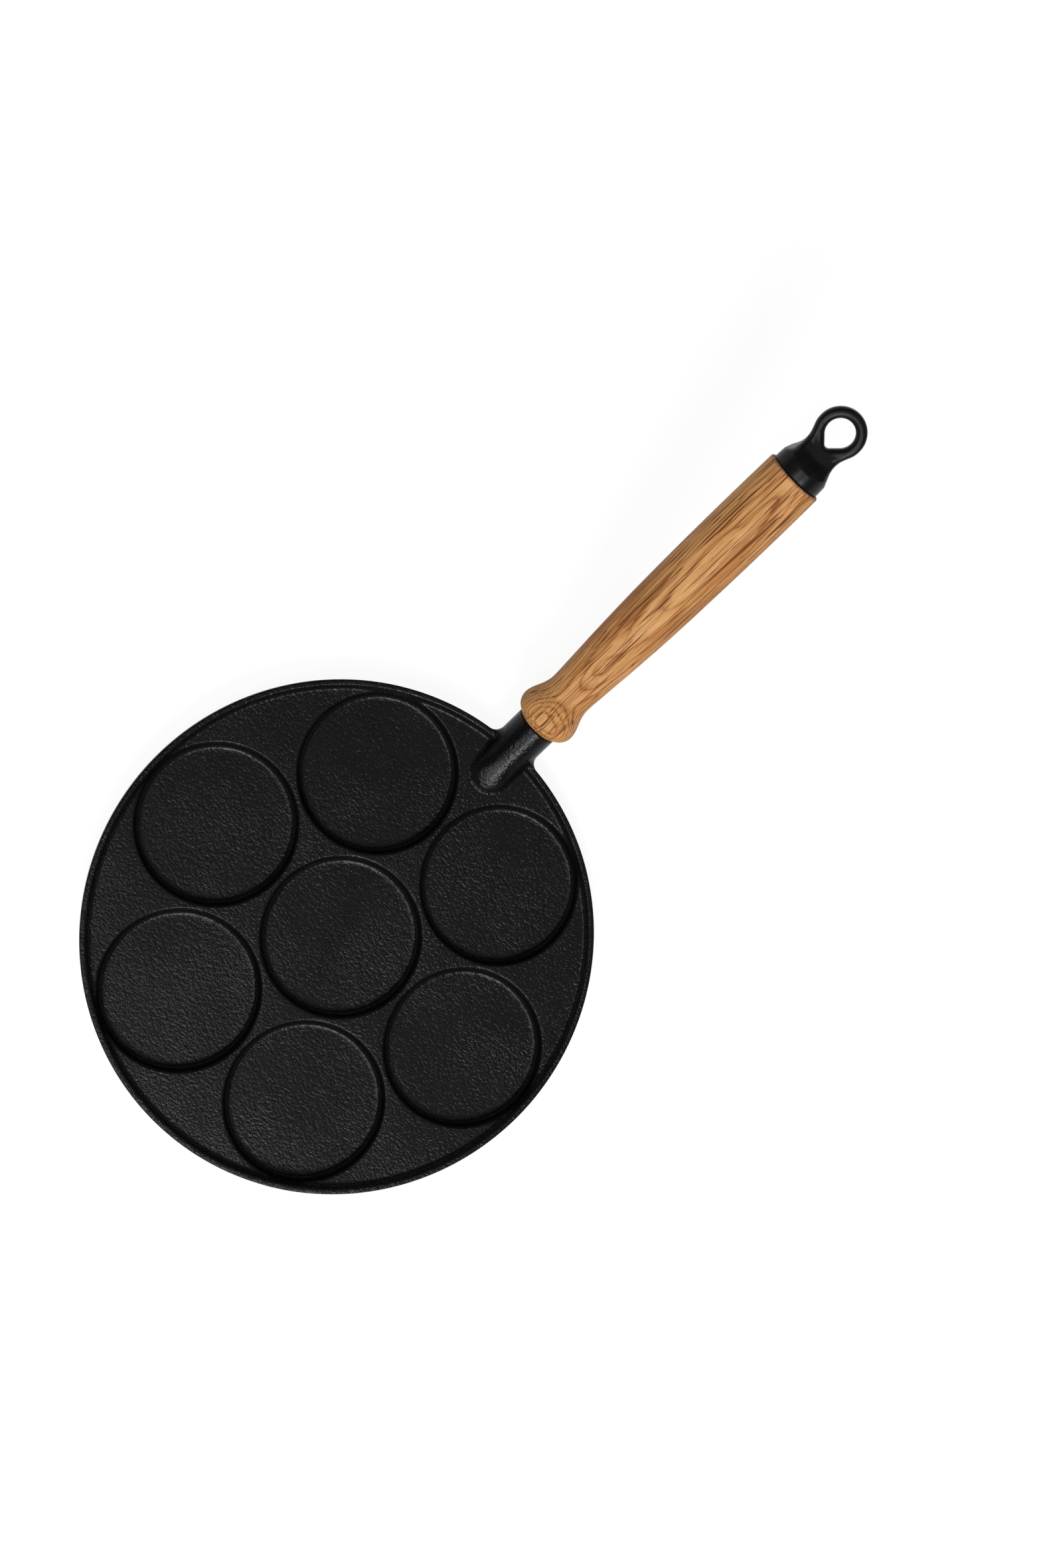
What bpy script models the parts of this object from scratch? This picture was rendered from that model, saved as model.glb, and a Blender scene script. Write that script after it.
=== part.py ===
"""Pancake pan: an iron casting with seven round recesses, and a wooden grip held by a hanging loop.

Four pieces, one object each:
    pan_casting    plate, rim, seven cups and the slanted handle stub, cast in one
    wood_grip      turned sleeve over the handle's axis
    tie_rod        steel rod through the grip, screwed into the stub and the loop
    hanging_loop   end casting that clamps the grip, with a ring to hang the pan by

Frame: metres, +Z up, origin at the middle of the underside of the centre cup, handle towards +X.
The handle's pieces are turned round a slanted axis, the local Z of the empty handle_axis.
"""

import math

import bmesh
import bpy
from mathutils import Vector

MM = 0.001

# Cups: six on a circle round a centre one
CUP_PITCH = 77.0 * MM
OUTER_CUPS = 6
CUP_MOUTH_RADIUS = 37.5 * MM
CUP_DEPTH = 5.8 * MM
CUP_DRAFT = math.radians(12.0)
CUP_MOUTH_ROUND = 1.0 * MM
CUP_MOUTH_STEP = 0.05 * MM
CUP_FLOOR_FILLET = 1.5 * MM
CUP_FLOOR_THICKNESS = 4.0 * MM
CUP_WALL = 3.5 * MM
CUP_FOOT_ROUND = 3.5 * MM

# Plate and rim
PAN_RADIUS = 118.0 * MM
PLATE_THICKNESS = 4.0 * MM
RIM_HEIGHT = 2.8 * MM
RIM_FOOT_WIDTH = 4.3 * MM
RIM_CREST_WIDTH = 2.45 * MM
RIM_FOOT_FILLET = 1.2 * MM
RIM_CREST_ROUND = 0.4 * MM
RIM_OUTER_ROUND = 0.8 * MM
PLATE_LOWER_ROUND = 1.5 * MM

# Handle axis: where it crosses the plate's top, and how steeply it climbs
HANDLE_CROSSING = 117.2 * MM
HANDLE_CLIMB = math.radians(23.6)

# Stub of the casting, measured along the axis from the crossing
STUB_RADIUS = 10.45 * MM
STUB_END = 16.2 * MM
STUB_ROOT = -27.0 * MM
STUB_RIM_FILLET = 4.5 * MM
STUB_UNDERSIDE_CLEARANCE = 1.0 * MM
STUB_UNDERSIDE_RUN = 22.0 * MM

# Wood grip
GRIP_LENGTH = 163.8 * MM
GRIP_FACE_RADIUS = 9.8 * MM
BULB_RADIUS = 14.95 * MM
BULB_PLACE = 7.4 * MM
NECK_RADIUS = 11.1 * MM
NECK_PLACE = 22.0 * MM
BODY_RADIUS = 14.3 * MM
BODY_PLACE = 136.0 * MM
GRIP_END_CHAMFER = 1.3 * MM
GRIP_END_SLOPE = 1.8 * MM

# Tie rod and the bores that it runs in
ROD_RADIUS = 3.0 * MM
ROD_CHAMFER = 0.5 * MM
ROD_IN_STUB = 15.0 * MM
ROD_IN_LOOP = 8.0 * MM
CLEARANCE = 0.3 * MM

# Hanging loop
COLLAR_RADIUS = 12.6 * MM
COLLAR_LENGTH = 6.0 * MM
COLLAR_EDGE = 0.5 * MM
WAIST_HALF_WIDTH = 9.0 * MM
WAIST_PLACE = 14.4 * MM
WEB_HALF_THICKNESS = 2.9 * MM
WEB_FLARE_HALF_WIDTH = 11.2 * MM
WEB_FLARE_PLACE = 23.2 * MM
EYE_RADIUS = 6.75 * MM
EYE_TIP_RADIUS = 2.0 * MM
EYE_TIP_REACH = 6.7 * MM
EYE_PLACE = 26.9 * MM
RING_WIDTH = 5.25 * MM
RING_THICKNESS = 6.8 * MM

# Fineness of the round shapes
RIM_SEGMENTS = 84
CUP_SEGMENTS = 40
GRIP_SEGMENTS = 36
STUB_SEGMENTS = 36
ROD_SEGMENTS = 20
LOOP_SEGMENTS = 32
RING_STEPS = 40
RING_SIDES = 12
ARC_STEPS = 3
CUP_TWIST = math.radians(1.7)
JOINED_POINTS = 0.03 * MM

# Levels and places that follow from the sizes above
LAND_LEVEL = CUP_FLOOR_THICKNESS + CUP_DEPTH
FLOOR_LEVEL = CUP_FLOOR_THICKNESS
PLATE_UNDERSIDE = LAND_LEVEL - PLATE_THICKNESS
RIM_TOP = LAND_LEVEL + RIM_HEIGHT
GRIP_START = STUB_END + CLEARANCE
GRIP_STOP = GRIP_START + GRIP_LENGTH
LOOP_START = GRIP_STOP + CLEARANCE
BORE_RADIUS = ROD_RADIUS + CLEARANCE
OVERSHOOT = 10.0 * MM


def arc(centre, radius, start, stop, steps):
    """Points on an arc from one angle to another, both ends included, as (across, up) pairs."""
    points = []
    for step in range(steps + 1):
        angle = start + (stop - start) * step / steps
        across = centre[0] + radius * math.cos(angle)
        up = centre[1] + radius * math.sin(angle)
        points.append((across, up))
    return points


def rounded(before, corner, after, radius, steps):
    """Arc of the given radius that rounds a corner between two straight lines."""
    corner = Vector(corner)
    to_before = (Vector(before) - corner).normalized()
    to_after = (Vector(after) - corner).normalized()
    half_angle = to_before.angle(to_after) / 2
    centre = corner + (to_before + to_after).normalized() * radius / math.sin(half_angle)
    first = corner + to_before * radius / math.tan(half_angle) - centre
    last = corner + to_after * radius / math.tan(half_angle) - centre
    start = math.atan2(first.y, first.x)
    turn = first.angle_signed(last)
    return arc(centre, radius, start, start - turn, steps)


def smooth_curve(knots, steps):
    """Points on a smooth curve through the knots, whose first and last spans keep their slope."""
    ends = [Vector(knots[0]) * 2 - Vector(knots[1])]
    ends += [Vector(knot) for knot in knots]
    ends += [Vector(knots[-1]) * 2 - Vector(knots[-2])]
    points = []
    for index in range(1, len(ends) - 2):
        before, start, stop, after = ends[index - 1:index + 3]
        leave = (stop - before) / 2
        arrive = (after - start) / 2
        for step in range(steps):
            t = step / steps
            point = start * (2 * t ** 3 - 3 * t ** 2 + 1) + leave * (t ** 3 - 2 * t ** 2 + t)
            point += stop * (3 * t ** 2 - 2 * t ** 3) + arrive * (t ** 3 - t ** 2)
            points.append((point.x, point.y))
    points.append(tuple(knots[-1]))
    return points


def link(name, bm, material=None):
    """Turn a bmesh into an object with smooth faces and sharp corners, and link it to the scene."""
    bmesh.ops.recalc_face_normals(bm, faces=bm.faces)
    mesh = bpy.data.meshes.new(name)
    bm.to_mesh(mesh)
    bm.free()
    mesh.shade_smooth()
    mesh.set_sharp_from_angle(angle=math.radians(35.0))
    if material is not None:
        mesh.materials.append(material)
    new_object = bpy.data.objects.new(name, mesh)
    bpy.context.scene.collection.objects.link(new_object)
    return new_object


def skin(rows, close_ends):
    """Bmesh of a tube whose rows are rings of points, with flat caps or joined end to end."""
    bm = bmesh.new()
    rings = [[bm.verts.new(point) for point in row] for row in rows]
    pairs = list(zip(rings, rings[1:]))
    if not close_ends:
        pairs.append((rings[-1], rings[0]))
    for low, high in pairs:
        for index in range(len(low)):
            following = (index + 1) % len(low)
            bm.faces.new((low[index], low[following], high[following], high[index]))
    if close_ends:
        bm.faces.new(reversed(rings[0]))
        bm.faces.new(rings[-1])
    return bm


def turned(profile, segments):
    """Bmesh of a closed profile of (radius, height) pairs turned round the Z axis.

    A profile that starts and ends on the axis makes a solid, and any other makes a ring.
    """
    bm = bmesh.new()
    on_axis = profile[0][0] == 0.0
    verts = [bm.verts.new((radius, 0.0, height)) for radius, height in profile]
    edges = [bm.edges.new(pair) for pair in zip(verts, verts[1:])]
    if not on_axis:
        edges.append(bm.edges.new((verts[-1], verts[0])))
    bmesh.ops.spin(bm, geom=verts + edges, axis=(0, 0, 1), cent=(0, 0, 0), steps=segments,
                   angle=math.tau, use_merge=True)
    bmesh.ops.remove_doubles(bm, verts=bm.verts, dist=0.001 * MM)
    return bm


def prism(outline, thickness, upright=False):
    """Bmesh of an outline extruded both ways: along Z, or along Y when the outline is in XZ."""
    half = thickness / 2
    if upright:
        rows = [[(x, side, z) for x, z in outline] for side in (-half, half)]
    else:
        rows = [[(x, y, side) for x, y in outline] for side in (-half, half)]
    return skin(rows, close_ends=True)


def as_tool(tool):
    """Mark an object as a shape that only cuts or joins another one."""
    tool.hide_render = True
    tool.display_type = 'WIRE'
    return tool


def group(name, tools):
    """Put tools in one collection, which a single Boolean then uses together."""
    collection = bpy.data.collections.new(name)
    bpy.context.scene.collection.children.link(collection)
    for tool in tools:
        bpy.context.scene.collection.objects.unlink(tool)
        collection.objects.link(tool)
    return collection


def combine(target, operation, operand):
    """Add a Boolean modifier that uses an object or a collection of objects."""
    modifier = target.modifiers.new(operation.lower(), 'BOOLEAN')
    modifier.operation = operation
    modifier.solver = 'EXACT'
    if isinstance(operand, bpy.types.Collection):
        modifier.operand_type = 'COLLECTION'
        modifier.collection = operand
    else:
        modifier.object = operand


def weld(target):
    """Join points that the Booleans left almost on top of each other."""
    modifier = target.modifiers.new('weld', 'WELD')
    modifier.merge_threshold = JOINED_POINTS


def principled(name, colour, roughness, metallic):
    """Principled material with one colour, roughness and metallic value."""
    material = bpy.data.materials.new(name)
    material.use_nodes = True
    shader = material.node_tree.nodes['Principled BSDF']
    shader.inputs['Base Color'].default_value = (*colour, 1.0)
    shader.inputs['Roughness'].default_value = roughness
    shader.inputs['Metallic'].default_value = metallic
    material.diffuse_color = (*colour, 1.0)
    return material


def cup_places():
    """Plan positions of the cups: the centre one, then the ring, none of them under the handle."""
    places = [(0.0, 0.0)]
    step = math.tau / OUTER_CUPS
    for index in range(OUTER_CUPS):
        angle = step * (index + 0.5)
        places.append((CUP_PITCH * math.cos(angle), CUP_PITCH * math.sin(angle)))
    return places


def mouth_corner_radius():
    """Radius of the cup's wall where it would meet the plate's top without its rounding."""
    turn = (math.pi / 2 - CUP_DRAFT) / 2
    return CUP_MOUTH_RADIUS - CUP_MOUTH_ROUND * math.tan(turn)


def hollow_profile():
    """Cutter profile of one cup: mouth rounding, drafted wall and floor fillet.

    The rounding starts a hair below the plate's top, so that the cutter crosses that plane cleanly.
    """
    mouth_level = LAND_LEVEL - CUP_MOUTH_STEP
    top_corner = (mouth_corner_radius(), mouth_level)
    floor_corner = (top_corner[0] - CUP_DEPTH * math.tan(CUP_DRAFT), FLOOR_LEVEL)
    mouth = rounded((CUP_MOUTH_RADIUS, mouth_level), top_corner, floor_corner, CUP_MOUTH_ROUND, 2)
    fillet = rounded(top_corner, floor_corner, (0.0, FLOOR_LEVEL), CUP_FLOOR_FILLET, ARC_STEPS)
    above = [(0.0, RIM_TOP + OVERSHOOT), (CUP_MOUTH_RADIUS, RIM_TOP + OVERSHOOT)]
    return above + mouth + fillet + [(0.0, FLOOR_LEVEL)]


def cup_body_profile():
    """Profile of one cup's underside, from inside the plate down to the flat foot."""
    floor_corner = mouth_corner_radius() - CUP_DEPTH * math.tan(CUP_DRAFT)
    foot_corner = floor_corner + CUP_WALL / math.cos(CUP_DRAFT) - CUP_FLOOR_THICKNESS * math.tan(CUP_DRAFT)
    top = PLATE_UNDERSIDE + PLATE_THICKNESS / 2
    shoulder = (foot_corner + top * math.tan(CUP_DRAFT), top)
    foot = rounded(shoulder, (foot_corner, 0.0), (0.0, 0.0), CUP_FOOT_ROUND, ARC_STEPS)
    return [(0.0, top), shoulder] + foot + [(0.0, 0.0)]


def plate_profile():
    """Profile of the plate and its rim."""
    rim_foot = (PAN_RADIUS - RIM_FOOT_WIDTH, LAND_LEVEL)
    crest = (PAN_RADIUS - RIM_CREST_WIDTH, RIM_TOP)
    outer_top = (PAN_RADIUS, RIM_TOP)
    outer_low = (PAN_RADIUS, PLATE_UNDERSIDE)
    profile = [(0.0, LAND_LEVEL)]
    profile += rounded((0.0, LAND_LEVEL), rim_foot, crest, RIM_FOOT_FILLET, 2)
    profile += rounded(rim_foot, crest, outer_top, RIM_CREST_ROUND, 2)
    profile += rounded(crest, outer_top, outer_low, RIM_OUTER_ROUND, 2)
    profile += rounded(outer_top, outer_low, (0.0, PLATE_UNDERSIDE), PLATE_LOWER_ROUND, 2)
    profile.append((0.0, PLATE_UNDERSIDE))
    return profile


def stub_underside():
    """Outline, in XZ, of what is cut away below the stub: a ramp up to the plate, flat outside."""
    ramp_start = PAN_RADIUS - STUB_UNDERSIDE_RUN
    slope = (PLATE_UNDERSIDE - STUB_UNDERSIDE_CLEARANCE) / STUB_UNDERSIDE_RUN
    inner = ramp_start - 2 * STUB_RADIUS
    inner_level = PLATE_UNDERSIDE + slope * (ramp_start - inner)
    outer = PAN_RADIUS + 3 * STUB_RADIUS
    below = -3 * STUB_RADIUS
    level = STUB_UNDERSIDE_CLEARANCE
    return [(inner, below), (outer, below), (outer, level), (PAN_RADIUS, level), (inner, inner_level)]


def rim_fillet_outline():
    """Plan outline of the web between the rim and the stub, with a concave arc on each side."""
    radius = STUB_RIM_FILLET
    centre_y = STUB_RADIUS + radius
    centre_x = math.sqrt((PAN_RADIUS + radius) ** 2 - centre_y ** 2)
    rim_side = math.atan2(-centre_y, -centre_x)
    one_side = arc((centre_x, centre_y), radius, rim_side, -math.pi / 2, ARC_STEPS)
    other_side = [(x, -y) for x, y in reversed(one_side)]
    inner = PAN_RADIUS - 2 * radius
    return [(inner, centre_y)] + one_side + other_side + [(inner, -centre_y)]


def build_casting(handle, iron):
    """Plate, rim, seven cups and handle stub in one casting."""
    casting = link('pan_casting', turned(plate_profile(), RIM_SEGMENTS), iron)

    body = link('cup_body', turned(cup_body_profile(), CUP_SEGMENTS))
    hollow = link('cup_hollow', turned(hollow_profile(), CUP_SEGMENTS))
    bodies = [body]
    hollows = [hollow]
    for index, (x, y) in enumerate(cup_places()[1:], start=1):
        for first, copies in ((body, bodies), (hollow, hollows)):
            copy = bpy.data.objects.new(first.name, first.data)
            copy.location = (x, y, 0.0)
            copy.rotation_euler.z = CUP_TWIST * index
            bpy.context.scene.collection.objects.link(copy)
            copies.append(copy)

    stub_profile = [(0.0, STUB_ROOT), (STUB_RADIUS, STUB_ROOT), (STUB_RADIUS, STUB_END), (0.0, STUB_END)]
    stub = as_tool(link('stub', turned(stub_profile, STUB_SEGMENTS)))
    stub.parent = handle
    underside = as_tool(link('stub_underside', prism(stub_underside(), 4 * STUB_RADIUS, upright=True)))
    combine(stub, 'DIFFERENCE', underside)

    web_low = PLATE_UNDERSIDE + PLATE_LOWER_ROUND
    web_high = RIM_TOP - RIM_OUTER_ROUND
    web = as_tool(link('rim_web', prism(rim_fillet_outline(), web_high - web_low)))
    web.location.z = (web_high + web_low) / 2

    bore_profile = [(0.0, STUB_END - ROD_IN_STUB - CLEARANCE),
                    (BORE_RADIUS, STUB_END - ROD_IN_STUB - CLEARANCE),
                    (BORE_RADIUS, STUB_END + OVERSHOOT), (0.0, STUB_END + OVERSHOOT)]
    bore = as_tool(link('stub_bore', turned(bore_profile, ROD_SEGMENTS)))
    bore.parent = handle

    combine(casting, 'UNION', group('cup_bodies', [as_tool(item) for item in bodies]))
    combine(casting, 'DIFFERENCE', group('cup_hollows', [as_tool(item) for item in hollows]))
    combine(casting, 'UNION', web)
    combine(casting, 'UNION', stub)
    combine(casting, 'DIFFERENCE', bore)
    weld(casting)
    return casting


def build_grip(handle, oak):
    """Turned sleeve: rounded bulb, neck, long swelling body and a chamfer at the loop."""
    front = GRIP_START
    bulb = GRIP_START + BULB_PLACE
    neck = GRIP_START + NECK_PLACE
    swell = GRIP_START + BODY_PLACE
    chamfer = GRIP_STOP - GRIP_END_SLOPE
    knots = [
        (GRIP_FACE_RADIUS, front),
        (GRIP_FACE_RADIUS + 0.55 * (BULB_RADIUS - GRIP_FACE_RADIUS), front + 0.22 * BULB_PLACE),
        (GRIP_FACE_RADIUS + 0.9 * (BULB_RADIUS - GRIP_FACE_RADIUS), front + 0.6 * BULB_PLACE),
        (BULB_RADIUS, bulb),
        (NECK_RADIUS + 0.85 * (BULB_RADIUS - NECK_RADIUS), bulb + 0.22 * (neck - bulb)),
        (NECK_RADIUS + 0.25 * (BULB_RADIUS - NECK_RADIUS), bulb + 0.64 * (neck - bulb)),
        (NECK_RADIUS, neck),
        (NECK_RADIUS + 0.38 * (BODY_RADIUS - NECK_RADIUS), neck + 0.2 * (swell - neck)),
        (NECK_RADIUS + 0.8 * (BODY_RADIUS - NECK_RADIUS), neck + 0.47 * (swell - neck)),
        (BODY_RADIUS, swell),
        (BODY_RADIUS - 0.2 * GRIP_END_CHAMFER, chamfer),
    ]
    outside = smooth_curve(knots, 3)
    end_radius = BODY_RADIUS - GRIP_END_CHAMFER
    profile = [(BORE_RADIUS, front)] + outside + [(end_radius, GRIP_STOP), (BORE_RADIUS, GRIP_STOP)]
    grip = link('wood_grip', turned(profile, GRIP_SEGMENTS), oak)
    grip.parent = handle
    return grip


def build_rod(handle, steel):
    """Tie rod with chamfered ends, from the stub's bore to the loop's."""
    low = STUB_END - ROD_IN_STUB
    high = LOOP_START + ROD_IN_LOOP
    tip = ROD_RADIUS - ROD_CHAMFER
    profile = [(0.0, low), (tip, low), (ROD_RADIUS, low + ROD_CHAMFER),
               (ROD_RADIUS, high - ROD_CHAMFER), (tip, high), (0.0, high)]
    rod = link('tie_rod', turned(profile, ROD_SEGMENTS), steel)
    rod.parent = handle
    return rod


def loop_section(half_width, half_thickness, level):
    """Ring of points on an ellipse across the handle's axis, wide along Y and thin along X."""
    points = []
    for index in range(LOOP_SEGMENTS):
        angle = math.tau * index / LOOP_SEGMENTS
        points.append((half_thickness * math.cos(angle), half_width * math.sin(angle), level))
    return points


def pear_outline(offset, steps):
    """Pear shape round the eye, in YZ of the handle, grown outwards by an offset.

    It is two circles, the eye and its smaller tip nearer the grip, with the lines that touch both.
    """
    eye = LOOP_START + EYE_PLACE
    lean = math.asin((EYE_RADIUS - EYE_TIP_RADIUS) / EYE_TIP_REACH)
    large = arc((0.0, eye), EYE_RADIUS + offset, -lean, math.pi + lean, steps)
    small_centre = (0.0, eye - EYE_TIP_REACH)
    small_steps = max(4, steps // 4)
    small = arc(small_centre, EYE_TIP_RADIUS + offset, math.pi + lean, math.tau - lean, small_steps)
    return large + small


def build_loop(handle, iron):
    """Round collar, concave shoulders, flat web and a round-edged ring with its pear-shaped eye."""
    collar_end = LOOP_START + COLLAR_LENGTH
    waist = LOOP_START + WAIST_PLACE
    flare = LOOP_START + WEB_FLARE_PLACE
    spread = COLLAR_RADIUS - WAIST_HALF_WIDTH
    flatten = COLLAR_RADIUS - WEB_HALF_THICKNESS
    run = waist - collar_end
    widths = smooth_curve([
        (COLLAR_RADIUS, collar_end),
        (WAIST_HALF_WIDTH + 0.55 * spread, collar_end + 0.25 * run),
        (WAIST_HALF_WIDTH + 0.12 * spread, collar_end + 0.62 * run),
        (WAIST_HALF_WIDTH, waist),
        (WAIST_HALF_WIDTH + 0.32 * (WEB_FLARE_HALF_WIDTH - WAIST_HALF_WIDTH), waist + 0.5 * (flare - waist)),
        (WEB_FLARE_HALF_WIDTH, flare),
    ], 3)
    rows = [loop_section(COLLAR_RADIUS - COLLAR_EDGE, COLLAR_RADIUS - COLLAR_EDGE, LOOP_START)]
    rows.append(loop_section(COLLAR_RADIUS, COLLAR_RADIUS, LOOP_START + COLLAR_EDGE))
    for half_width, level in widths:
        along = min(1.0, (level - collar_end) / run)
        half_thickness = WEB_HALF_THICKNESS + flatten * (1.0 - along) ** 2
        rows.append(loop_section(half_width, half_thickness, level))
    loop = link('hanging_loop', skin(rows, close_ends=True), iron)
    loop.parent = handle

    middle = RING_WIDTH / 2
    eye_cut = [(0.0, y, z) for y, z in pear_outline(middle, RING_STEPS // 2)]
    cut_rows = [[(side, y, z) for _, y, z in eye_cut] for side in (-COLLAR_RADIUS, COLLAR_RADIUS)]
    cutter = as_tool(link('eye_cutter', skin(cut_rows, close_ends=True)))
    cutter.parent = handle

    path = pear_outline(middle, RING_STEPS)
    ring_rows = []
    for index, (y, z) in enumerate(path):
        before = Vector(path[index - 1])
        after = Vector(path[(index + 1) % len(path)])
        along = (after - before).normalized()
        outward = Vector((along.y, -along.x))
        row = []
        for side in range(RING_SIDES):
            angle = math.tau * side / RING_SIDES
            out = middle * math.cos(angle)
            lift = RING_THICKNESS / 2 * math.sin(angle)
            row.append((lift, y + outward.x * out, z + outward.y * out))
        ring_rows.append(row)
    ring = as_tool(link('ring', skin(ring_rows, close_ends=False)))
    ring.parent = handle

    bore_top = LOOP_START + ROD_IN_LOOP + CLEARANCE
    bore_profile = [(0.0, LOOP_START - OVERSHOOT), (BORE_RADIUS, LOOP_START - OVERSHOOT),
                    (BORE_RADIUS, bore_top), (0.0, bore_top)]
    bore = as_tool(link('loop_bore', turned(bore_profile, ROD_SEGMENTS)))
    bore.parent = handle

    combine(loop, 'DIFFERENCE', cutter)
    combine(loop, 'UNION', ring)
    combine(loop, 'DIFFERENCE', bore)
    weld(loop)
    return loop


def main():
    """Clear the scene and build the four pieces round the slanted handle axis."""
    for old in list(bpy.data.objects):
        bpy.data.objects.remove(old, do_unlink=True)

    iron = principled('cast_iron', (0.017, 0.017, 0.018), 0.55, 0.35)
    oak = principled('oiled_oak', (0.58, 0.31, 0.13), 0.5, 0.0)
    steel = principled('rod_steel', (0.5, 0.5, 0.5), 0.4, 1.0)

    handle = bpy.data.objects.new('handle_axis', None)
    handle.location = (HANDLE_CROSSING, 0.0, LAND_LEVEL)
    handle.rotation_euler = (0.0, math.pi / 2 - HANDLE_CLIMB, 0.0)
    bpy.context.scene.collection.objects.link(handle)

    build_casting(handle, iron)
    build_grip(handle, oak)
    build_rod(handle, steel)
    build_loop(handle, iron)


main()
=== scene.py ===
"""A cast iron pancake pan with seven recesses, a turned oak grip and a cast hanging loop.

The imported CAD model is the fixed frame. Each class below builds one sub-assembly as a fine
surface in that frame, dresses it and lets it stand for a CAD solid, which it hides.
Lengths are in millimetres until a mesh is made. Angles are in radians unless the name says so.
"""

import sys
import logging
import math
from dataclasses import dataclass
from enum import Enum
from typing import Callable, Optional, Sequence

import bmesh
import bpy
import numpy as np
from mathutils import Matrix, Vector
from mathutils.geometry import delaunay_2d_cdt


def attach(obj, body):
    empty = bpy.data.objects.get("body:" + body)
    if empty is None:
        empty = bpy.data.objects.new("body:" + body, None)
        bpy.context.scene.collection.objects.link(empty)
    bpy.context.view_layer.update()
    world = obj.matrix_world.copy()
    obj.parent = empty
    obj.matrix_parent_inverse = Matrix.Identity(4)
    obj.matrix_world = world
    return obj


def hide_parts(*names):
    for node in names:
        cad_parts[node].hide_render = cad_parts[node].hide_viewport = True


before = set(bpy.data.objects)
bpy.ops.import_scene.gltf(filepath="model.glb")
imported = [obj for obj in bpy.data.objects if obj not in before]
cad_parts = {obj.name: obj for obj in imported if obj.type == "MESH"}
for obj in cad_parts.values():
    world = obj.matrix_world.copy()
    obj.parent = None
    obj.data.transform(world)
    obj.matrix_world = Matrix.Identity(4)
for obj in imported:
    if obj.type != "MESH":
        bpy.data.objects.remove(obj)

Array = np.ndarray
Field = Callable[[Array, Array, Array], Array]
Outline = Callable[[Array, Array], Array]
Pair = tuple[float, float]
Triple = tuple[float, float, float]
Span = tuple[float, float, float, float]
Stations = tuple[Pair, ...]
Material = bpy.types.Material
Node = bpy.types.Node
NodeTree = bpy.types.NodeTree
Socket = bpy.types.NodeSocket

METRES = 0.001
BODY = "root"
SMALL_STEP = 0.05
SLOPE_STEP = 0.02
LEAST_AGREEMENT = 0.35
LEAST_LENGTH = 1e-12
HALVINGS = 26
CELLS_IN_A_ROW = 1 << 20
NEWTON_STEPS = 14
NEWTON_SHARE = 0.9
SEARCH_LEVELS = 49
GUESS_ANGLES = 4000
GUESS_POINTS = 6000
LEAST_SINE = 1e-9
ROW_DEGREES = 56
NEIGHBOURS = 1.1
TOUCHING = 1e-6
NET_TOLERANCE = 1e-7
CUT_TOLERANCE = 1e-3
RIM_TOLERANCE = 2e-3
log = logging.getLogger("pancake_pan")


class Slot(Enum):
    """Names for the finishes of the four pieces, which nothing in the script reads."""

    PAN_IRON = "pan_iron"
    LOOP_IRON = "loop_iron"
    GRIP_WOOD = "grip_wood"
    ROD_STEEL = "rod_steel"


def join_round(first: Array, second: Array, radius: Array | float) -> Array:
    """Joins two solids with a fillet in the corner between them.

    With a and b the two distances and R the radius, the result is
    max(R, min(a, b)) - length(max(R - a, 0), max(R - b, 0)), a circle of radius R in the corner.

    Args:
        first, second: Distances to the two solids, negative inside.
        radius: Fillet radius.

    Returns:
        Distances to the joined solid.
    """
    corner = np.hypot(np.maximum(radius - first, 0), np.maximum(radius - second, 0))
    return np.maximum(radius, np.minimum(first, second)) - corner


def meet_round(first: Array, second: Array, radius: Array | float) -> Array:
    """Keeps what two solids share, with a rounded edge: the joining of their outsides, turned over.

    Args:
        first, second: Distances to the two solids, negative inside.
        radius: Edge radius.

    Returns:
        Distances to the shared solid.
    """
    return -join_round(-first, -second, radius)


def ease(value: Array, start: float, stop: float) -> Array:
    """Smooth step: t * t * (3 - 2 t), with t the value's place between start and stop."""
    t = np.clip((value - start) / (stop - start), 0, 1)
    return t * t * (3 - 2 * t)


def smooth_profile(stations: Sequence[Pair], places: Array) -> Array:
    """Smooth curve through stations.

    Each span is a Hermite cubic. Its end slopes are the mean of the slopes on either side, weighted
    by the other span's length, and flat where these differ in sign.

    Args:
        stations: Pairs of place and value, places rising.
        places: Where the value is wanted.

    Returns:
        The values.
    """
    x, y = np.array(stations, float).T
    span, rise = np.diff(x), np.diff(y)
    slope = rise / span
    inner = (slope[:-1] * span[1:] + slope[1:] * span[:-1]) / (span[:-1] + span[1:])
    inner = np.where(slope[:-1] * slope[1:] > 0, inner, 0.0)
    tangent = np.concatenate([slope[:1], inner, slope[-1:]])
    left = np.clip(np.searchsorted(x, places) - 1, 0, len(span) - 1)
    t = np.clip((places - x[left]) / span[left], 0, 1)
    start = y[left] * (1 + 2 * t) * (1 - t) ** 2 + tangent[left] * span[left] * t * (1 - t) ** 2
    stop = y[left + 1] * t * t * (3 - 2 * t) - tangent[left + 1] * span[left] * t * t * (1 - t)
    return start + stop


def crossing(solid: Field, origin: Array, ray: Array, reach: float) -> Array:
    """Point on each ray where it leaves the solid, found by halving the stretch that holds it.

    Args:
        solid: Distance field, negative inside.
        origin: Points inside the solid, one a row.
        ray: Unit directions, one a row.
        reach: Length of ray that surely ends outside.

    Returns:
        The points of leaving.
    """
    inner = np.zeros(len(origin))
    outer = np.full(len(origin), reach)
    for _ in range(HALVINGS):
        middle = (inner + outer) / 2
        inside = solid(*(origin + middle[:, None] * ray).T) < 0
        inner = np.where(inside, middle, inner)
        outer = np.where(inside, outer, middle)
    return origin + ((inner + outer) / 2)[:, None] * ray


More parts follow.
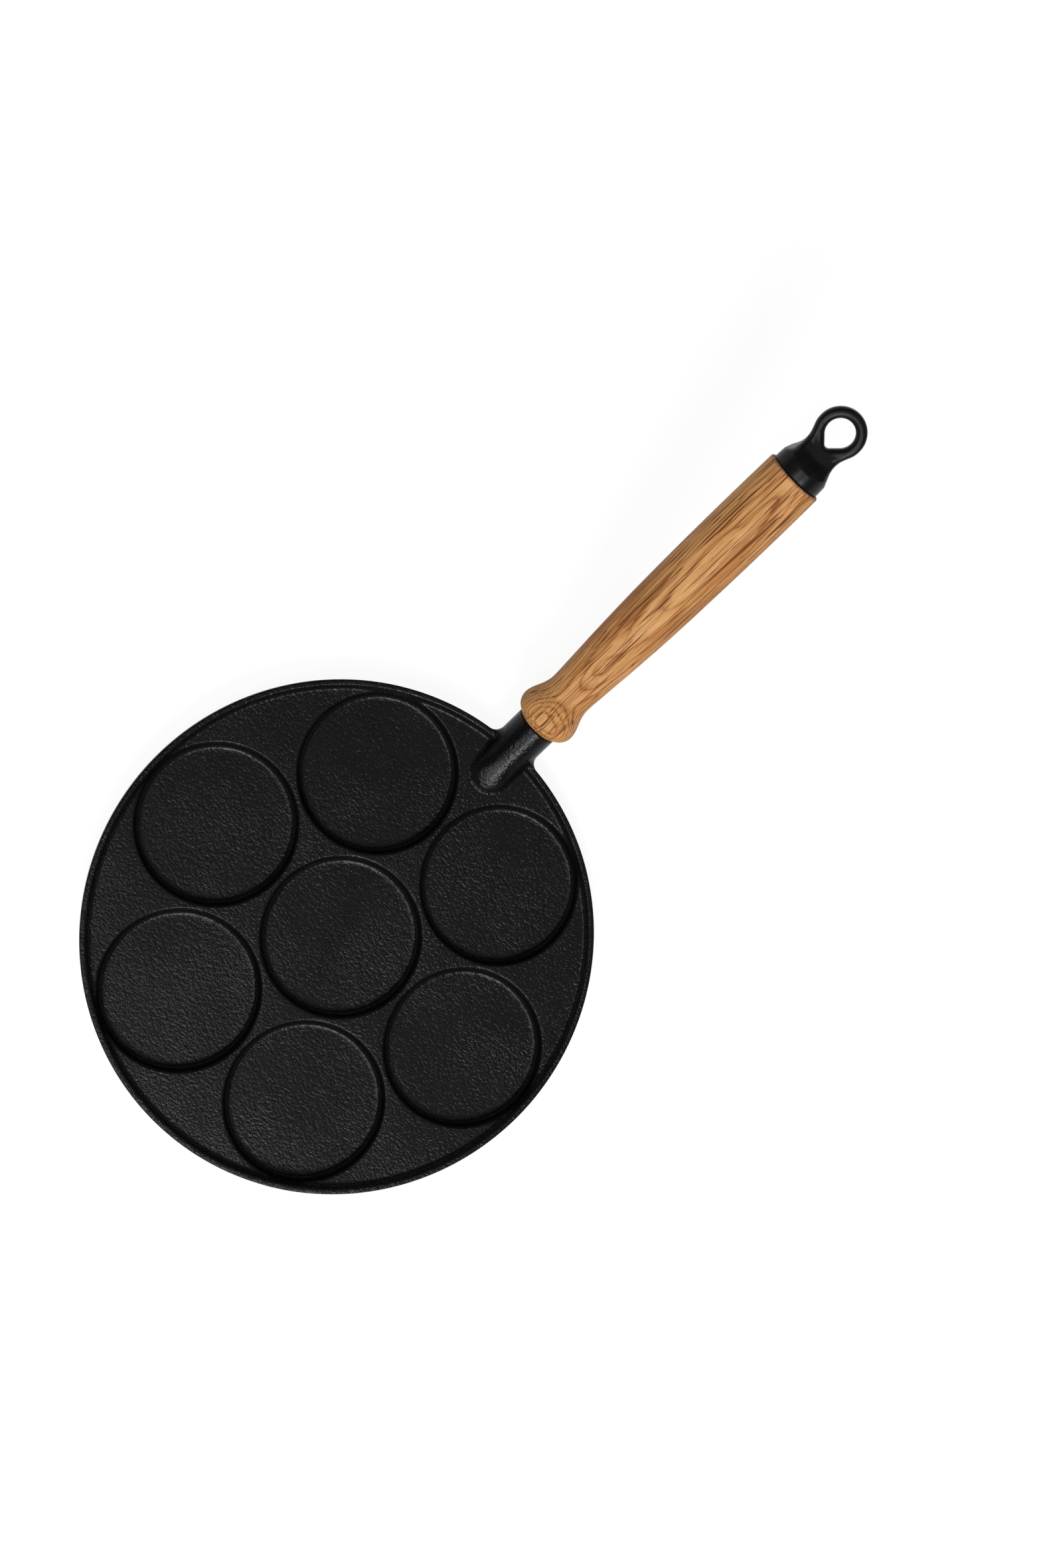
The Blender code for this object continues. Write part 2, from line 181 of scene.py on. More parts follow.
def slope_of(distance: Field | Outline, points: Array) -> Array:
    """Unit directions in which a distance grows: its central differences, made unit length.

    Args:
        distance: Distance in space or in plan.
        points: Points of as many axes, one a row.

    Returns:
        The directions, one a row.
    """
    columns = []
    for axis in np.eye(points.shape[1]) * SLOPE_STEP:
        columns.append(distance(*(points + axis).T) - distance(*(points - axis).T))
    gradient = np.stack(columns, axis=1)
    return gradient / np.maximum(np.linalg.norm(gradient, axis=1, keepdims=True), LEAST_LENGTH)


def ring_points(centre: Sequence[float], radii: Sequence[float], count: int) -> Array:
    """Plan points on circles: centre + radius * (cos a, sin a).

    Every second circle is turned half a step.

    Args:
        centre: The circles' centre.
        radii: Their radii.
        count: Points on each.

    Returns:
        The points, one a row.
    """
    radius, step = np.meshgrid(np.array(radii, float), np.arange(count), indexing="ij")
    shift = (np.arange(len(radii)) % 2)[:, None] / 2
    angle = (step + shift) * (2 * np.pi / count)
    plan = np.stack([radius * np.cos(angle), radius * np.sin(angle)], axis=-1)
    return plan.reshape(-1, 2) + np.array(centre, float)


def honeycomb(low: Sequence[float], high: Sequence[float], spacing: float) -> Array:
    """Plan points of a triangular lattice that fills a rectangle, odd rows moved half a step.

    Args:
        low, high: The rectangle's lowest and highest corner.
        spacing: Distance from each point to its neighbours.

    Returns:
        The points, one a row.
    """
    row_gap = spacing * math.sqrt(3) / 2
    rows = np.arange(low[1], high[1], row_gap)
    columns = np.arange(low[0], high[0], spacing)
    x, y = np.meshgrid(columns, rows)
    x = x + (np.arange(len(rows)) % 2)[:, None] * spacing / 2
    return np.stack([x.ravel(), y.ravel()], axis=1)


def apart(points: Array, others: Array, gap: float) -> Array:
    """Keeps the points whose square cell, and the eight round it, hold none of the others.

    Args:
        points: Plan points that may be dropped.
        others: Plan points that stay.
        gap: Width of a cell, so the least distance that is left.

    Returns:
        The points that are left.
    """
    cells = np.floor(points / gap).astype(np.int64)
    taken = np.floor(others / gap).astype(np.int64)
    around = np.stack(np.meshgrid([-1, 0, 1], [-1, 0, 1]), axis=-1).reshape(-1, 1, 2)
    row = np.array([CELLS_IN_A_ROW, 1])
    keys = np.unique((taken[None] + around).reshape(-1, 2) @ row)
    return points[~np.isin(cells @ row, keys)]


def level_loop(
    outline: Outline, guess: Array, level: float, spacing: Callable[[Array], Array]
) -> Array:
    """Closed loop on which an outline's distance has one level.

    The guess is moved down the outline's slope by Newton steps, spread again so that neighbours
    lie one local spacing apart, and moved once more.

    Args:
        outline: Plan distance, negative inside.
        guess: Loop of points near the level, in order.
        level: Wanted distance.
        spacing: Gives the wanted gap at each point.

    Returns:
        The loop's points in the guess's order.
    """

    def settle(points: Array) -> Array:
        """Newton steps along the slope, each a little short.

        Args:
            points: Points near the level.

        Returns:
            The points on it.
        """
        for _ in range(NEWTON_STEPS):
            miss = outline(*points.T) - level
            slope = slope_of(outline, points)
            points = points - NEWTON_SHARE * miss[:, None] * slope
        return points

    loop = settle(guess)
    closed = np.vstack([loop, loop[:1]])
    step = np.linalg.norm(np.diff(closed, axis=0), axis=1)
    gaps = spacing(loop)
    travelled = np.concatenate([[0], np.cumsum(step / gaps)])
    count = int(round(travelled[-1]))
    wanted = np.arange(count) * travelled[-1] / count
    columns = [np.interp(wanted, travelled, closed[:, axis]) for axis in (0, 1)]
    return settle(np.stack(columns, axis=1))


@dataclass
class Skin:
    """A triangulated surface with one normal for each corner of each triangle.

    Attributes:
        points: Vertices, one a row.
        triangles: Vertex numbers, three a row, counterclockwise from outside.
        corners: Normals, triangles by corners by three.
    """

    points: Array
    triangles: Array
    corners: Array

    def joined(self, other: "Skin") -> "Skin":
        """This skin with another whose triangles already count its vertices after this one's."""
        return Skin(*map(np.vstack, zip(vars(self).values(), vars(other).values())))


@dataclass(frozen=True)
class HandleAxis:
    """The slanted line that the stub, the grip, the rod and the loop share.

    Attributes:
        crossing_place: Distance from the pan's middle where the line crosses the land's level.
        land_level: Height of the land over the base.
        climb_degrees: Angle of the line over the land.
    """

    crossing_place: float = 117.2
    land_level: float = 9.8
    climb_degrees: float = 23.6

    @property
    def climb(self) -> float:
        """The climb in radians."""
        return math.radians(self.climb_degrees)

    @property
    def origin(self) -> Array:
        """Where the line crosses the land's level."""
        return np.array([self.crossing_place, 0.0, self.land_level])

    @property
    def basis(self) -> Array:
        """Rows: along the line, across it level with the pan, and square to both, upwards."""
        cosine, sine = math.cos(self.climb), math.sin(self.climb)
        return np.array([[cosine, 0.0, sine], [0.0, 1.0, 0.0], [-sine, 0.0, cosine]])

    def local(self, points: Array) -> Array:
        """Points of the row frame as places along, across and over the line."""
        return (points - self.origin) @ self.basis.T

    def placed(self, points: Array) -> Array:
        """Places along, across and over the line as points of the row frame."""
        return points @ self.basis + self.origin

    def turned(self, directions: Array) -> Array:
        """Directions along, across and over the line as directions of the row frame."""
        return directions @ self.basis

    def carried(self, skin: Skin) -> Skin:
        """A skin along, across and over the line as a skin of the row frame."""
        return Skin(self.placed(skin.points), skin.triangles, self.turned(skin.corners))


def turned_skin(
    sections: Sequence[Array],
    angles: Array,
    offset: int,
    closed: bool = False,
    first: Optional[Array] = None,
    last: Optional[Array] = None,
) -> Skin:
    """Turns a profile round the handle's axis.

    A station (u, r) becomes the ring (u, r sin a, r cos a). Each section is smooth in itself, and
    the edge between two sections stays sharp. A station of radius 0 becomes one pole vertex.

    Args:
        sections: Profile sections in order, rows of (u, r). Each starts where the last one stopped.
        angles: Angles of the ring's vertices, rising, the whole turn.
        offset: Number of the first new vertex.
        closed: Whether the profile's last station is its first one again.
        first, last: Vertex numbers that already hold the first and the last ring.

    Returns:
        The new vertices in the axis's own frame, and triangles that count from the offset.
    """
    stations = np.vstack([sections[0][:1]] + [section[1:] for section in sections])
    starts, stops = [], []
    for section in sections:
        tangent = np.gradient(section, axis=0)
        normal = np.stack([-tangent[:, 1], tangent[:, 0]], axis=1)
        normal = normal / np.linalg.norm(normal, axis=1, keepdims=True)
        starts.append(normal[:-1])
        stops.append(normal[1:])
    count = len(angles)
    numbers, rings, made = [], [], offset
    for place, (along, radius) in enumerate(stations):
        if place == 0 and first is not None:
            numbers.append(first)
        elif place == len(stations) - 1 and last is not None:
            numbers.append(last)
        elif place == len(stations) - 1 and closed:
            numbers.append(numbers[0])
        elif radius == 0:
            numbers.append(np.full(count, made))
            rings.append(np.array([[along, 0.0, 0.0]]))
            made += 1
        else:
            numbers.append(made + np.arange(count))
            full = np.full(count, along)
            rings.append(np.stack([full, radius * np.sin(angles), radius * np.cos(angles)], axis=1))
            made += count
    grid = np.array(numbers)
    ahead = np.roll(np.arange(count), -1)
    a, b = grid[:-1], grid[1:]
    c, d = grid[1:][:, ahead], grid[:-1][:, ahead]
    triangles = np.stack([np.stack([a, b, c], -1), np.stack([a, c, d], -1)], axis=2)

    def round_normals(normal: Array, turn: Array) -> Array:
        """Profile normals (nu, nr) turned by angles: (nu, nr sin a, nr cos a).

        Args:
            normal: Profile normals, one a row.
            turn: Angles.

        Returns:
            The normals, profile by angle by three.
        """
        along = np.repeat(normal[:, :1], len(turn), axis=1)
        return np.stack([along, normal[:, 1:] * np.sin(turn), normal[:, 1:] * np.cos(turn)], axis=-1)

    near, far = (round_normals(np.vstack(normals), angles) for normals in (starts, stops))
    near_ahead, far_ahead = near[:, ahead], far[:, ahead]
    corners = np.stack(
        [np.stack([near, far, far_ahead], 2), np.stack([near, far_ahead, near_ahead], 2)], axis=2
    )
    triangles, corners = triangles.reshape(-1, 3), corners.reshape(-1, 3, 3)
    repeated = (
        (triangles[:, 0] == triangles[:, 1])
        | (triangles[:, 1] == triangles[:, 2])
        | (triangles[:, 2] == triangles[:, 0])
    )
    points = np.vstack(rings) if rings else np.zeros((0, 3))
    return Skin(points, triangles[~repeated], corners[~repeated])


def arc(
    centre: Sequence[float], radius: float, start_degrees: float, stop_degrees: float, count: int
) -> Array:
    """Profile stations on a circle: centre + radius * (cos a, sin a)."""
    angle = np.radians(np.linspace(start_degrees, stop_degrees, count))
    return np.array(centre) + radius * np.stack([np.cos(angle), np.sin(angle)], axis=1)


@dataclass
class CastSolid:
    """Closed skin of a solid that is given by a distance field and is one piece of metal deep.

    Over each plan point the metal has one top and one bottom height. These two surfaces stop at
    loops that lie a little inside the plan outline. A band closes them: from each loop point, half
    way up, rays fan out from straight down to straight up in the plane of the outline's normal.

    Attributes:
        solid: Distance field over the two plan axes and the height, negative inside.
        outline: Plan distance to the solid's outline, negative inside.
        inset: How far the loops lie inside the outline.
        low, high: Heights under and over all of the solid.
        rows: Rays in each fan.
    """

    solid: Field
    outline: Outline
    inset: float
    low: float
    high: float
    rows: int = 21

    def heights(self, plan: Array) -> tuple[Array, Array]:
        """Top and bottom surface points over plan points.

        The field is sampled at evenly spaced heights, and both searches start from the height at
        which it is lowest.

        Args:
            plan: Plan points, one a row.

        Returns:
            The top and the bottom points.
        """
        levels = np.linspace(self.low, self.high, SEARCH_LEVELS)
        values = np.stack([self.solid(plan[:, 0], plan[:, 1], np.full(len(plan), z)) for z in levels])
        start = np.column_stack([plan, levels[values.argmin(axis=0)]])
        up = np.tile([0.0, 0.0, 1.0], (len(plan), 1))
        reach = self.high - self.low
        return crossing(self.solid, start, up, reach), crossing(self.solid, start, -up, reach)

    def band(self, loop: Array, reach: float) -> Array:
        """Points of the band round a loop.

        Args:
            loop: The loop's plan points.
            reach: Longest ray.

        Returns:
            Points, rows by columns by three, from the bottom upwards.
        """
        top, bottom = self.heights(loop)
        middle = (top + bottom) / 2
        side = slope_of(self.outline, loop)
        lift = np.linspace(-np.pi / 2, np.pi / 2, self.rows)
        flat = np.cos(lift)[:, None, None] * np.column_stack([side, np.zeros(len(side))])
        rays = flat + np.sin(lift)[:, None, None] * np.array([0.0, 0.0, 1.0])
        origins = np.broadcast_to(middle, rays.shape)
        hits = crossing(self.solid, origins.reshape(-1, 3), rays.reshape(-1, 3), reach)
        return hits.reshape(rays.shape)

    def tiles(self, loops: Sequence[Array], plan: Array) -> Array:
        """Triangles over the plan points inside the loops, numbered loops first, then points.

        A Delaunay net with the loops as fixed edges, less what lies outside the inset outline.

        Args:
            loops: The loops' plan points.
            plan: Plan points inside them.

        Returns:
            Point numbers, three a row, counterclockwise.
        """
        points = np.vstack([*loops, plan])
        edges, start = [], 0
        for loop in loops:
            ids = start + np.arange(len(loop))
            edges.append(np.stack([ids, np.roll(ids, -1)], axis=1))
            start += len(loop)
        centre = points.mean(axis=0)
        places, fixed = (points - centre).tolist(), np.vstack(edges).tolist()
        made = delaunay_2d_cdt(places, fixed, [], 0, NET_TOLERANCE, True)
        source = np.fromiter(map(min, made[3]), int)
        net = source[np.array(made[2])]
        middle = points[net].mean(axis=1)
        net = net[self.outline(*middle.T) < -self.inset]
        a, b, c = points[net[:, 0]], points[net[:, 1]], points[net[:, 2]]
        ab, ac = b - a, c - a
        area = ab[:, 0] * ac[:, 1] - ab[:, 1] * ac[:, 0]
        net[area < 0] = net[area < 0][:, ::-1]
        return net

    def skin(
        self, loops: Sequence[Array], top_plan: Array, bottom_plan: Array, reach: float
    ) -> tuple[Array, Array]:
        """The whole closed surface.

        Args:
            loops: Loops at the inset level, counterclockwise round metal, clockwise round holes.
            top_plan, bottom_plan: Plan points of the two surfaces inside the loops.
            reach: Longest ray of the band.

        Returns:
            Vertices and triangles.
        """
        bands, triangles, low_ids, high_ids, start = [], [], [], [], 0
        for loop in loops:
            rows = self.band(loop, reach)
            count = len(loop)
            ids = start + np.arange(self.rows * count).reshape(self.rows, count)
            ahead = np.roll(ids, -1, axis=1)
            a, b, c, d = ids[:-1], ahead[:-1], ahead[1:], ids[1:]
            triangles.append(np.stack([a, b, c], -1).reshape(-1, 3))
            triangles.append(np.stack([a, c, d], -1).reshape(-1, 3))
            bands.append(rows.reshape(-1, 3))
            low_ids.append(ids[0])
            high_ids.append(ids[-1])
            start += self.rows * count
        top, _ = self.heights(top_plan)
        _, bottom = self.heights(bottom_plan)
        high = np.concatenate([*high_ids, start + np.arange(len(top))])
        low = np.concatenate([*low_ids, start + len(top) + np.arange(len(bottom))])
        triangles.append(high[self.tiles(loops, top_plan)])
        triangles.append(low[self.tiles(loops, bottom_plan)][:, ::-1])
        return np.vstack([*bands, top, bottom]), np.vstack(triangles)


def steady_skin(points: Array, triangles: Array, normals: Array) -> Skin:
    """A skin with vertex normals at its corners, but a triangle's own where the two disagree.

    Args:
        points, triangles: Vertices, and vertex numbers.
        normals: Unit normal of the solid at each vertex.

    Returns:
        The skin.
    """
    a, b, c = (points[triangles[:, corner]] for corner in range(3))
    flat = np.cross(b - a, c - a)
    flat = flat / np.maximum(np.linalg.norm(flat, axis=1, keepdims=True), LEAST_LENGTH)
    corners = normals[triangles]
    agree = np.einsum("tcx,tx->tc", corners, flat) > LEAST_AGREEMENT
    return Skin(points, triangles, np.where(agree[..., None], corners, flat[:, None, :]))


def cut_off(points: Array, triangles: Array, place: Array, direction: Array) -> tuple[Array, Array]:
    """Cuts a surface with a plane and drops what lies ahead of it.

    Args:
        points, triangles: Vertices, and vertex numbers.
        place, direction: A point of the plane, and its normal towards the part that goes.

    Returns:
        Vertices and triangles of the part that stays.
    """
    mesh = bpy.data.meshes.new("cutting")
    mesh.from_pydata(points.tolist(), [], triangles.tolist())
    work = bmesh.new()
    work.from_mesh(mesh)
    everything = [*work.verts, *work.edges, *work.faces]
    bmesh.ops.bisect_plane(
        work,
        geom=everything,
        dist=CUT_TOLERANCE,
        plane_co=Vector(place),
        plane_no=Vector(direction),
        clear_outer=True,
    )
    bmesh.ops.triangulate(work, faces=work.faces[:])
    work.to_mesh(mesh)
    work.free()
    kept = np.zeros(len(mesh.vertices) * 3, np.float32)
    mesh.vertices.foreach_get("co", kept)
    faces = np.zeros(len(mesh.loops), np.int32)
    mesh.loops.foreach_get("vertex_index", faces)
    bpy.data.meshes.remove(mesh)
    return kept.reshape(-1, 3).astype(float), faces.reshape(-1, 3)


def rim_of_cut(points: Array, axis: HandleAxis, along: float, radius: float) -> tuple[Array, Array]:
    """Finds the vertices on a cut square to the handle's axis and sets them on an exact circle.

    Args:
        points: Vertices of the row frame, changed in place.
        axis: The handle's axis.
        along, radius: Place of the cut on the axis, and radius of the circle.

    Returns:
        The vertices' numbers and their angles, by rising angle.
    """
    local = axis.local(points)
    rim = np.flatnonzero(np.abs(local[:, 0] - along) < RIM_TOLERANCE)
    angle = np.arctan2(local[rim, 1], local[rim, 2])
    order = np.argsort(angle)
    rim, angle = rim[order], angle[order]
    circle = np.stack([np.full(len(rim), along), radius * np.sin(angle), radius * np.cos(angle)], axis=1)
    points[rim] = axis.placed(circle)
    return rim, angle


class Wiring:
    """Adds nodes to one node tree and joins their sockets."""

    def __init__(self, tree: NodeTree) -> None:
        """Starts on a tree."""
        self.tree = tree

    def node(self, kind: str, **settings: object) -> Node:
        """A new node.

        Args:
            kind: The node's type.
            settings: Its plain properties.

        Returns:
            The node.
        """
        made = self.tree.nodes.new(kind)
        for name, value in settings.items():
            setattr(made, name, value)
        return made

    def feed(self, socket: Socket, value: object) -> None:
        """Links a socket to another one, or sets its own value.

        Args:
            socket: The socket that takes the value.
            value: Another socket, or a plain value.
        """
        if isinstance(value, Socket):
            self.tree.links.new(value, socket)
        else:
            socket.default_value = value

    def fill(self, made: Node, values: Sequence[object]) -> Socket:
        """Feeds a node's first sockets and gives its result.

        Args:
            made: The node.
            values: Sockets or plain values, in the order of its sockets.

        Returns:
            Its first output.
        """
        for socket, value in zip(made.inputs, values):
            self.feed(socket, value)
        return made.outputs[0]

    def math(self, operation: str, *values: object) -> Socket:
        """Result of a Math node."""
        return self.fill(self.node("ShaderNodeMath", operation=operation), values)

    def vector(self, operation: str, *values: object) -> Socket:
        """Vector result of a Vector Math node."""
        return self.fill(self.node("ShaderNodeVectorMath", operation=operation), values)

    def parts(self, vector: object) -> tuple[Socket, Socket, Socket]:
        """The three parts of a vector."""
        made = self.node("ShaderNodeSeparateXYZ")
        self.feed(made.inputs[0], vector)
        return made.outputs[0], made.outputs[1], made.outputs[2]

    def weighed(self, values: Sequence[object], weights: Sequence[float]) -> Socket:
        """Sum of two values, each times its weight."""
        terms = [self.math("MULTIPLY", value, weight) for value, weight in zip(values, weights)]
        return self.math("ADD", *terms)

    def scaled(self, vector: object, scale: Triple, shift: Triple = (0.0, 0.0, 0.0)) -> Socket:
        """A vector times a scale for each axis, plus a shift.

        Args:
            vector: The vector.
            scale, shift: Scale and shift along each axis.

        Returns:
            The moved vector.
        """
        made = self.node("ShaderNodeMapping", vector_type="POINT")
        self.feed(made.inputs["Vector"], vector)
        made.inputs["Scale"].default_value = scale
        made.inputs["Location"].default_value = shift
        return made.outputs[0]

    def noise(self, vector: object, scale: object, detail: float, rough: float) -> Node:
        """A Noise Texture node.

        Args:
            vector: Where the noise is taken.
            scale: Its rate.
            detail, rough: Octaves past the first, and their weight.

        Returns:
            The node.
        """
        made = self.node("ShaderNodeTexNoise", noise_dimensions="3D", normalize=True)
        self.feed(made.inputs["Vector"], vector)
        self.feed(made.inputs["Scale"], scale)
        made.inputs["Detail"].default_value = detail
        made.inputs["Roughness"].default_value = rough
        made.inputs["Distortion"].default_value = 0.0
        return made

    def spread(
        self,
        value: object,
        low: float,
        high: float,
        to_low: object = 0.0,
        to_high: object = 1.0,
        smooth: bool = False,
    ) -> Socket:
        """A value carried from one range to another and held inside it.

        Args:
            value: The value.
            low, high: Start and end of its range.
            to_low, to_high: What these two become.
            smooth: Whether it eases in and out, and isn't straight.

        Returns:
            The carried value.
        """
        kind = "SMOOTHSTEP" if smooth else "LINEAR"
        made = self.node("ShaderNodeMapRange", clamp=True, interpolation_type=kind)
        return self.fill(made, (value, low, high, to_low, to_high))

    def ramp(self, factor: object, stops: Sequence[tuple[float, Triple]]) -> Socket:
        """Colour of a ramp.

        Args:
            factor: Place on the ramp.
            stops: Places and colours, places rising.

        Returns:
            The colour.
        """
        made = self.node("ShaderNodeValToRGB")
        made.color_ramp.interpolation = "LINEAR"
        self.feed(made.inputs[0], factor)
        elements = made.color_ramp.elements
        while len(elements) < len(stops):
            elements.new(0.5)
        for element, (place, colour) in zip(elements, stops):
            element.position = place
            element.color = (*colour, 1.0)
        return made.outputs[0]

    def mix(self, factor: object, first: object, second: object) -> Socket:
        """Two colours mixed.

        Args:
            factor: Share of the second.
            first, second: Sockets or plain colours.

        Returns:
            The mixed colour.
        """
        made = self.node("ShaderNodeMix", data_type="RGBA", blend_type="MIX", clamp_factor=True)
        self.feed(made.inputs[0], factor)
        for socket, value in ((made.inputs[6], first), (made.inputs[7], second)):
            self.feed(socket, (*value, 1.0) if isinstance(value, tuple) else value)
        return made.outputs[2]

    def bump(self, height: object, distance: float, strength: float) -> Socket:
        """Normal of a surface with a height on it.

        Args:
            height: The height, in units of the distance.
            distance, strength: The distance, in metres, and the strength of the bump.

        Returns:
            The normal.
        """
        made = self.node("ShaderNodeBump")
        made.inputs["Strength"].default_value = strength
        made.inputs["Distance"].default_value = distance
        self.feed(made.inputs["Height"], height)
        return made.outputs[0]


def new_material(name: str) -> tuple[Material, Wiring, Node]:
    """A material with nodes.

    Args:
        name: The material's name.

    Returns:
        The material, its wiring and its Principled shader.
    """
    material = bpy.data.materials.new(name)
    material.use_nodes = True
    wiring = Wiring(material.node_tree)
    return material, wiring, material.node_tree.nodes["Principled BSDF"]


@dataclass(frozen=True)
class Pattern:
    """A noise over a place that is first scaled and shifted.

    Attributes:
        scale, shift: Scale and shift along each axis. The shift keeps patterns apart.
        detail, rough: Octaves past the first, and each one's weight against the one before it.
    """

    scale: Triple
    shift: Triple = (0.0, 0.0, 0.0)
    detail: float = 2.0
    rough: float = 0.5

    def node(self, wiring: Wiring, place: Socket) -> Node:
        """The noise's node over a place."""
        return wiring.noise(wiring.scaled(place, self.scale, self.shift), 1.0, self.detail, self.rough)

    def value(self, wiring: Wiring, place: Socket) -> Socket:
        """The noise's value over a place."""
        return self.node(wiring, place).outputs[0]


@dataclass(frozen=True)
class CastSkin:
    """The sandy skin of cast metal, one node group that the pan and the loop share.

    Fine grains are noise at the grain rate, stretched a little across the pan, and coarse grains
    are noise at a lower rate. Pits are where the coarse noise runs low. A slow noise gives the
    swell of the mould, and the grains stand higher on its clouds. The height is
    (fine + coarse weight * coarse - middle + pit weight * pits) * clouds * dressing, where the
    dressing is lower on the recess walls, on their fillets and on the stub, which were ground
    smoother. Tone mixes the fine grains and the stains, and Gloss the swell and the fine grains.

    Attributes:
        stretch: Scale of the grains along each axis.
        fine_noise, coarse_noise, swell_noise, stain_noise: Detail and roughness of each noise.
        coarse_rate, coarse_weight: Rate and height of the coarse grains against the fine ones.
        middle: Mean of the two grains' sum, taken off so that the dressing moves no level.
        pit_range, pit_weight: Coarse noise at a pit's bottom and edge, and the height it lacks.
        cloud_range: Swell at which clouds begin and are full.
        cloud_least, cloud_gain: Grain height between clouds, and what a full cloud adds.
        floor_fade: Heights, in metres, between which the recess floor turns into its fillet.
        land_fade: Heights between which the mouth's edge turns into the land.
        stub_fade: Heights between which the rim's crest ends and the stub begins.
        wall_share, stub_share: Grain height left on walls and fillets, and on the stub.
        stain_rate: Rate of the stains against the swell.
        tone_weights, gloss_weights: Parts of fine grains and stains, and of swell and fine grains.
    """

    stretch: Triple = (1.0, 0.70, 1.0)
    fine_noise: Pair = (2.0, 0.55)
    coarse_noise: Pair = (1.0, 0.5)
    swell_noise: Pair = (2.0, 0.5)
    stain_noise: Pair = (3.0, 0.6)
    coarse_rate: float = 0.47
    coarse_weight: float = 1.6
    middle: float = 1.3
    pit_range: Pair = (0.30, 0.42)
    pit_weight: float = 0.25
    cloud_range: Pair = (0.38, 0.64)
    cloud_least: float = 0.72
    cloud_gain: float = 0.50
    floor_fade: Pair = (0.00402, 0.00420)
    land_fade: Pair = (0.00970, 0.00979)
    wall_share: float = 0.60
    stub_fade: Pair = (0.0128, 0.0150)
    stub_share: float = 0.62
    stain_rate: float = 3.1
    tone_weights: Pair = (0.55, 0.45)
    gloss_weights: Pair = (0.5, 0.5)

    def dressing(self, wiring: Wiring, place: Socket) -> Socket:
        """How much of the grain is left at each height over the base.

        Args:
            wiring: Where the nodes go.
            place: Object coordinates.

        Returns:
            The share, 1 on the land, the floors and the rim.
        """
        height = wiring.parts(place)[2]
        floor = wiring.spread(height, *self.floor_fade, 1.0, 0.0)
        land = wiring.spread(height, *self.land_fade, 0.0, 1.0)
        flat = wiring.spread(wiring.math("MAXIMUM", floor, land), 0.0, 1.0, self.wall_share, 1.0)
        stub = wiring.spread(height, *self.stub_fade, 1.0, self.stub_share)
        return wiring.math("MULTIPLY", flat, stub)

    def group(self) -> NodeTree:
        """Builds the node group.

        Returns:
            Its tree. Position, Grain Rate and Swell Rate go in, and Height, Tone and Gloss come out.
        """
        tree = bpy.data.node_groups.new("cast_skin", "ShaderNodeTree")
        tree.interface.new_socket("Position", in_out="INPUT", socket_type="NodeSocketVector")
        sides = {"INPUT": ("Grain Rate", "Swell Rate"), "OUTPUT": ("Height", "Tone", "Gloss")}
        for side, names in sides.items():
            for name in names:
                tree.interface.new_socket(name, in_out=side, socket_type="NodeSocketFloat")
        wiring = Wiring(tree)
        inside, outside = wiring.node("NodeGroupInput"), wiring.node("NodeGroupOutput")
        place = inside.outputs["Position"]
        grain_rate, swell_rate = inside.outputs["Grain Rate"], inside.outputs["Swell Rate"]
        drawn = wiring.scaled(place, self.stretch)
        fine = wiring.noise(drawn, grain_rate, *self.fine_noise).outputs[0]
        coarse_rate = wiring.math("MULTIPLY", grain_rate, self.coarse_rate)
        coarse = wiring.noise(drawn, coarse_rate, *self.coarse_noise).outputs[0]
        swell = wiring.noise(place, swell_rate, *self.swell_noise).outputs[0]
        stain_rate = wiring.math("MULTIPLY", swell_rate, self.stain_rate)
        stain = wiring.noise(place, stain_rate, *self.stain_noise).outputs[0]
        pits = wiring.spread(coarse, *self.pit_range)
        grains = wiring.math("MULTIPLY_ADD", coarse, self.coarse_weight, fine)
        grains = wiring.math("SUBTRACT", grains, self.middle)
        heap = wiring.math("MULTIPLY_ADD", pits, self.pit_weight, grains)
        clouds = wiring.spread(swell, *self.cloud_range)
        clouds = wiring.math("MULTIPLY_ADD", clouds, self.cloud_gain, self.cloud_least)
        height = wiring.math("MULTIPLY", heap, clouds)
        height = wiring.math("MULTIPLY", height, self.dressing(wiring, place))
        wiring.feed(outside.inputs["Height"], height)
        wiring.feed(outside.inputs["Tone"], wiring.weighed((fine, stain), self.tone_weights))
        wiring.feed(outside.inputs["Gloss"], wiring.weighed((swell, fine), self.gloss_weights))
        return tree


